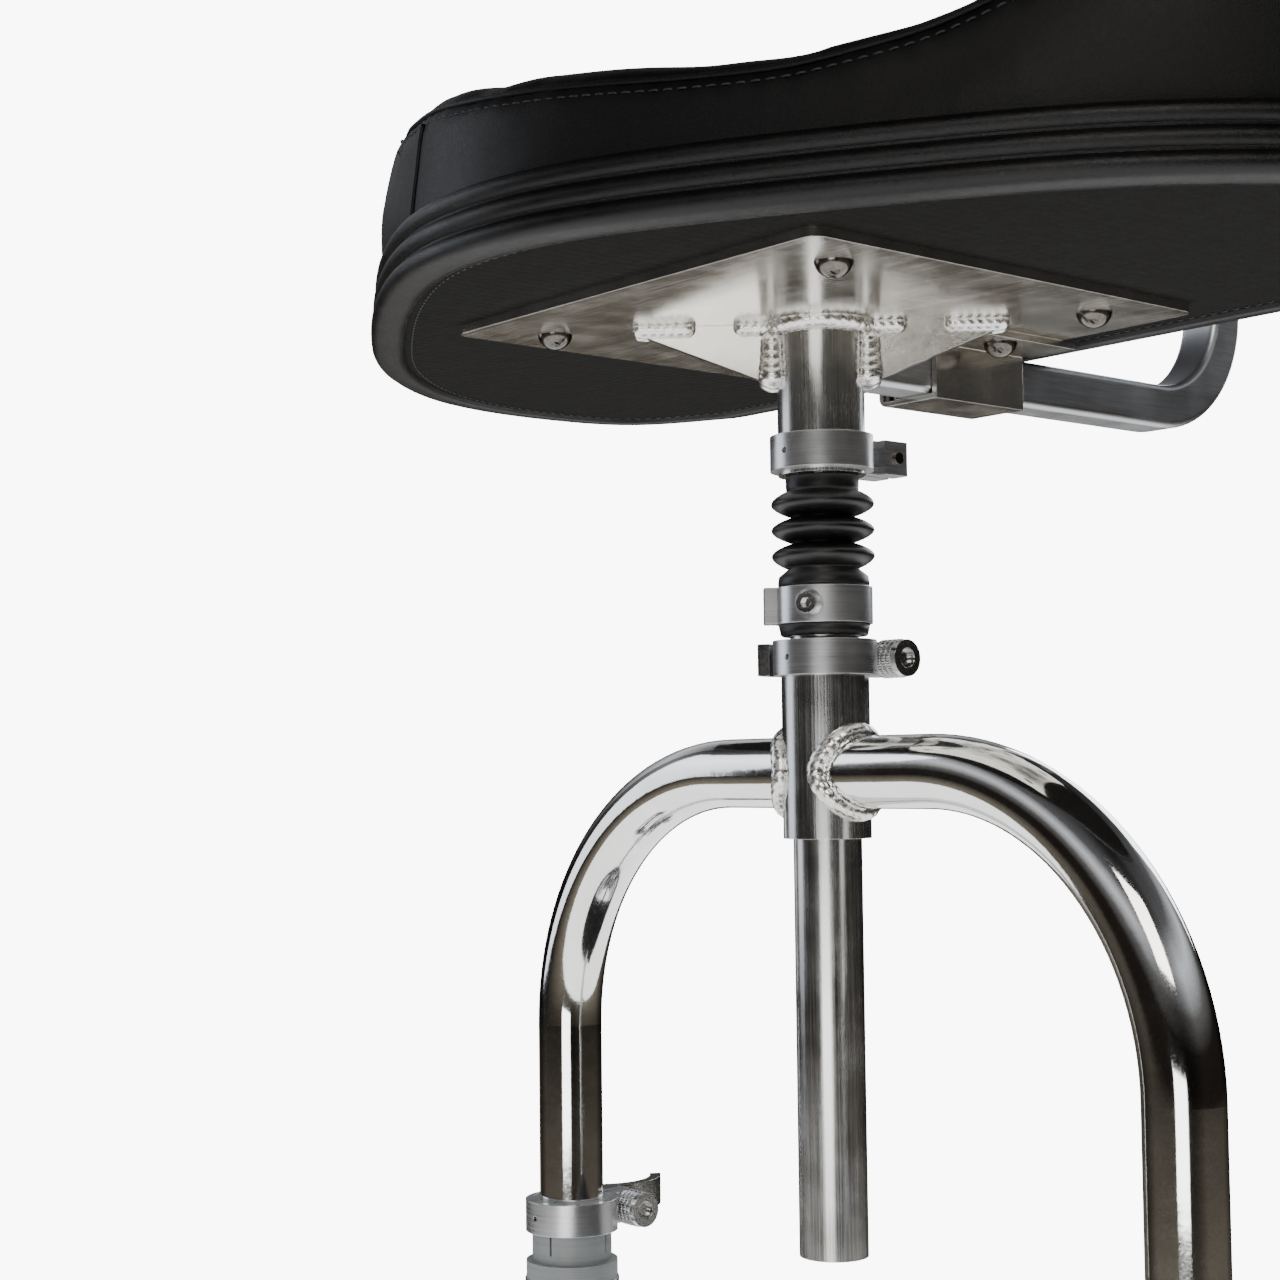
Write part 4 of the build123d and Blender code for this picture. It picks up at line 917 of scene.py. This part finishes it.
def make_backrest_pad():
    low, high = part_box("backrest_pad")
    middle = (low + high) / 2
    half_w, half_h, deep = (high.x - low.x) / 2, (high.z - low.z) / 2, high.y - low.y
    rim = rounded_rectangle(half_w - 3 * MM, half_h - 3 * MM, 30 * MM)
    rings = []
    shape = [(0.99, 0.0), (1.0, 0.10), (1.0, 0.5), (0.985, 0.66), (0.94, 0.8), (0.86, 0.88), (0.7, 0.93),
             (0.5, 0.955), (0.3, 0.965), (0.1, 0.97)]
    for scale, depth in shape:
        y = high.y - depth * deep
        rings.append([Vector((middle.x + p.x * scale, y, middle.z + p.z * scale)) for p in rim])
    verts, faces = skin(rings)
    mesh = inflate(verts, faces, voxel=4 * MM, cap=5 * MM, still=lambda co: co[1] > high.y - 3 * MM)
    smooth_mesh(mesh, 2)
    pad = stuffed_piece("backrest_cushion", mesh)
    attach(pad, "backrest")
    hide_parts("backrest_pad")
    welt = [Vector((middle.x + p.x * 1.012, high.y - 0.56 * deep, middle.z + p.z * 1.012)) for p in rim]
    welt, _, _ = resample(welt, 3 * MM, closed=True)
    surface = surface_of(mesh)
    welt = [surface.find_nearest(p)[0] for p in welt]
    verts, faces = round_tube(welt, 1.3 * MM, sides=8, closed=True)
    new_piece("backrest_welt", verts, faces, "pebbled_vinyl", "backrest")


make_backrest_pad()
print("backrest pad made")

# %% [markdown]
# ## Tyre
# A balloon tyre spun about the axle, with a block tread cut into its crown. The grooves are cut into the rings
# themselves, because a bump pattern would give the blocks no edges in outline.

# %% The tread
TREAD_BLOCKS, TREAD_LANES = 72, 5


def tread_depth(angle, across):
    """How deep the tread is cut at an angle round the tyre, and from -1 to 1 across its crown."""
    if abs(across) > 1:
        return 0.0
    lane = (across + 1) / 2 * TREAD_LANES
    row = math.floor(lane)
    phase = angle / TAU * TREAD_BLOCKS + 0.5 * (row % 2)
    groove = min(phase % 1, 1 - phase % 1)
    between = min(lane % 1, 1 - lane % 1)
    cut = max(1 - smooth_step(groove, 0.10, 0.17), 1 - smooth_step(between, 0.09, 0.16))
    return 2.2 * MM * cut


print(TREAD_BLOCKS, "blocks in each of", TREAD_LANES, "lanes")

# %% The tyre
BEAD_R, BEAD_X = 153.0 * MM, 35.8 * MM      # where the tyre's beads sit in the rim


def make_tyre():
    low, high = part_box("tyre")
    centre = (low + high) / 2
    radius, half = (high.z - low.z) / 2, (high.x - low.x) / 2
    middle_r = BEAD_R + 0.5 * (radius - BEAD_R)
    outer = [(BEAD_R, -BEAD_X), (BEAD_R + 6 * MM, -BEAD_X)]
    arc = 64
    for k in range(arc + 1):
        angle = math.radians(-128 + 256 * k / arc)
        x = half * math.sin(angle)
        r = middle_r + (radius - middle_r) * math.cos(angle)
        if r > BEAD_R + 7 * MM:
            outer.append((r, x))
    outer += [(BEAD_R + 6 * MM, BEAD_X), (BEAD_R, BEAD_X)]
    inner = [(BEAD_R, BEAD_X - 4 * MM), (BEAD_R + 9 * MM, BEAD_X - 5 * MM)]
    for k in range(17):
        angle = math.radians(110 - 220 * k / 16)
        r = middle_r + (radius - middle_r - 4 * MM) * math.cos(angle)
        inner.append((r, (half - 3.5 * MM) * math.sin(angle)))
    inner += [(BEAD_R + 9 * MM, -BEAD_X + 5 * MM), (BEAD_R, -BEAD_X + 4 * MM)]
    steps = TREAD_BLOCKS * 10
    rings = []
    for i in range(steps):
        angle = TAU * i / steps
        ring = []
        for index, (r, x) in enumerate(outer + inner):
            if index < len(outer) and r > middle_r + 0.35 * (radius - middle_r):
                r -= tread_depth(angle, x / (half * 0.80))
            ring.append(Vector((x, -r * math.sin(angle), centre.z + r * math.cos(angle))))
        rings.append(ring)
    verts, faces = skin(rings, loop=True)
    tyre = new_piece("treaded_tyre", verts, faces, "worn_tyre_rubber", "wheel")
    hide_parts("tyre")


make_tyre()
print("tyre made")

# %% [markdown]
# ## Knurled nuts and pedal studs
# A knurl is rolled into a nut for the fingers, in small teeth. They stand out against the light, so they are in
# the mesh. The studs are short pins with chamfered tips, in two rows on each face of a pedal.

# %% Knurls
LEG_SPACING = 336 * MM      # between the legs' centre lines


def knurl(centre, radius, start_x, end_x):
    """A knurled sleeve along X: rows of small teeth in four bands."""
    teeth, bands = 44, 4
    rings = []
    for band in range(bands):
        for share, height in ((0.0, 0.0), (0.12, 1.0), (0.72, 1.0), (0.84, 0.0)):
            x = start_x + (end_x - start_x) * (band + share) / bands
            ring = []
            for k in range(teeth * 2):
                angle = TAU * k / (teeth * 2)
                r = radius + height * (0.42 * MM if k % 2 else 0.05 * MM)
                ring.append(Vector((x, centre[1] + r * math.cos(angle), centre[2] + r * math.sin(angle))))
            rings.append(ring)
    return skin(rings)


def make_knurls():
    for node, body in (("crown_quick_release_bolt", "fork"), ("leg_quick_release_bolts", "lower_frame")):
        low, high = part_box(node)
        radius = (high.z - low.z) / 2
        centre = (0, (low.y + high.y) / 2, (low.z + high.z) / 2)
        ends = [high.x] if node.startswith("crown") else [high.x, high.x - LEG_SPACING]
        parts = [knurl(centre, radius - 0.02 * MM, end - 12.8 * MM, end - 2.2 * MM) for end in ends]
        verts, faces = join(*parts)
        obj = new_piece(node + "_knurl", verts, faces, "zinc_plate", body)
        obj.data.polygons.foreach_set("use_smooth", [False] * len(obj.data.polygons))


make_knurls()
print("knurls made")

# %% Pedal studs
def make_pedal_studs():
    for side in ("left", "right"):
        low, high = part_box(f"{side}_pedal")
        parts = []
        for top, z in ((1, high.z), (-1, low.z)):
            for y in (low.y + 4.5 * MM, high.y - 4.5 * MM):
                for k in range(5):
                    x = low.x + (high.x - low.x) * (0.18 + 0.16 * k)
                    stud = [(0.1 * MM, top * -1 * MM), (1.6 * MM, top * -1 * MM), (1.6 * MM, top * 2.0 * MM),
                            (1.2 * MM, top * 2.5 * MM), (0.1 * MM, top * 2.5 * MM)]
                    parts.append(lathe(stud, (x, y, z), steps=14))
        verts, faces = join(*parts)
        new_piece(f"{side}_pedal_studs", verts, faces, "zinc_plate", f"{side}_pedal")


make_pedal_studs()
print("pedal studs made")

# %% [markdown]
# ## Studio
# The ground is a white disc that glows a little, and the surroundings are white to the camera. Metal mirrors
# a darker room instead: a pale ground, dark at the horizon and overhead, and a bright band between them. That
# draws the contrasted lines of polished tube, which would look flat in a room that was white all round. Four
# soft lamps stand in front at each side, behind, and low in front.

# %% The floor
FLOOR_R = 1.5               # a disc, so that metal also mirrors the darker room beyond it
FLOOR_GLOW = 1.5


def make_floor():
    mesh = bpy.data.meshes.new("floor")
    rim = [(FLOOR_R * math.cos(TAU * k / 96), FLOOR_R * math.sin(TAU * k / 96), 0) for k in range(96)]
    mesh.from_pydata(rim, [], [tuple(range(96))])
    glow = {"Emission Color": srgb("#ffffff"), "Emission Strength": FLOOR_GLOW, "Specular IOR Level": 0.0}
    mesh.materials.append(finish("white_floor", "#f2f2f1", "#fafaf9", (0.8, 0.9), 3.0, 0.001, sockets=glow))
    floor = bpy.data.objects.new("floor", mesh)
    bpy.context.scene.collection.objects.link(floor)


make_floor()
print("floor made,", 2 * FLOOR_R, "m across")

# %% The lamps
def make_lamp(name, location, target, size, watts, tint="#ffffff"):
    data = bpy.data.lights.new(name, "AREA")
    data.shape = "RECTANGLE"
    data.size, data.size_y = size
    data.energy = watts
    data.color = srgb(tint)[:3]
    lamp = bpy.data.objects.new(name, data)
    bpy.context.scene.collection.objects.link(lamp)
    lamp.location = location
    aim(lamp, Vector(target) - Vector(location), (0, 0, 1))


make_lamp("key", (1.9, -1.6, 2.3), (0, 0, 0.6), (1.4, 1.4), 34, "#fffaf2")
make_lamp("fill", (-2.2, -1.2, 1.3), (0, 0, 0.6), (1.2, 2.0), 16, "#eef4ff")
make_lamp("rim", (-0.6, 2.4, 1.6), (0, 0, 0.65), (1.6, 1.2), 26, "#f4f8ff")
make_lamp("low", (1.2, -1.8, 0.25), (0, 0, 0.75), (1.2, 0.4), 9)
print("four lamps made")

# %% The room
WHITE_STRENGTH = 9.0        # bright enough that what the camera sees behind the object is plain white


def make_world():
    """White to the camera. To the metal, a room that is dark at the horizon and overhead, and bright between."""
    world = bpy.data.worlds.new("studio")
    bpy.context.scene.world = world
    world.use_nodes = True
    tree = world.node_tree
    tree.nodes.clear()
    place = add(tree, "ShaderNodeTexCoord").outputs["Generated"]
    split = add(tree, "ShaderNodeSeparateXYZ", {"Vector": place})
    height = add(tree, "ShaderNodeMapRange", {0: split.outputs["Z"], 1: -1.0, 2: 1.0}).outputs[0]
    ramp = add(tree, "ShaderNodeValToRGB", {"Fac": height})
    stops = ((0.0, "#b8b2a6"), (0.34, "#7b7468"), (0.45, "#1d1916"), (0.55, "#1f1c1a"), (0.63, "#5f5e5d"),
             (0.73, "#d2d5da"), (0.83, "#59595b"), (1.0, "#1d1d1e"))
    elements = ramp.color_ramp.elements
    while len(elements) < len(stops):
        elements.new(0.5)
    for element, (position, colour) in zip(elements, stops):
        element.position = position
        element.color = srgb(colour)
    around = add(tree, "ShaderNodeMath", {0: split.outputs["Y"], 1: split.outputs["X"]}, operation="ARCTAN2")
    strip = add(tree, "ShaderNodeMath", {0: around.outputs[0], 1: 2.5}, operation="MULTIPLY")
    strip = add(tree, "ShaderNodeMath", {0: strip.outputs[0]}, operation="SINE")
    flags = add(tree, "ShaderNodeMapRange", {0: strip.outputs[0], 1: -1.0, 2: 0.2, 3: 0.35, 4: 1.15}).outputs[0]
    room = add(tree, "ShaderNodeBackground", {"Color": ramp.outputs["Color"], "Strength": flags})
    white = add(tree, "ShaderNodeBackground", {"Color": srgb("#ffffff"), "Strength": WHITE_STRENGTH})
    seen = add(tree, "ShaderNodeLightPath").outputs["Is Camera Ray"]
    mixed = add(tree, "ShaderNodeMixShader", {0: seen, 1: room.outputs[0], 2: white.outputs[0]})
    add(tree, "ShaderNodeOutputWorld", {"Surface": mixed.outputs[0]})


make_world()
print("room made")
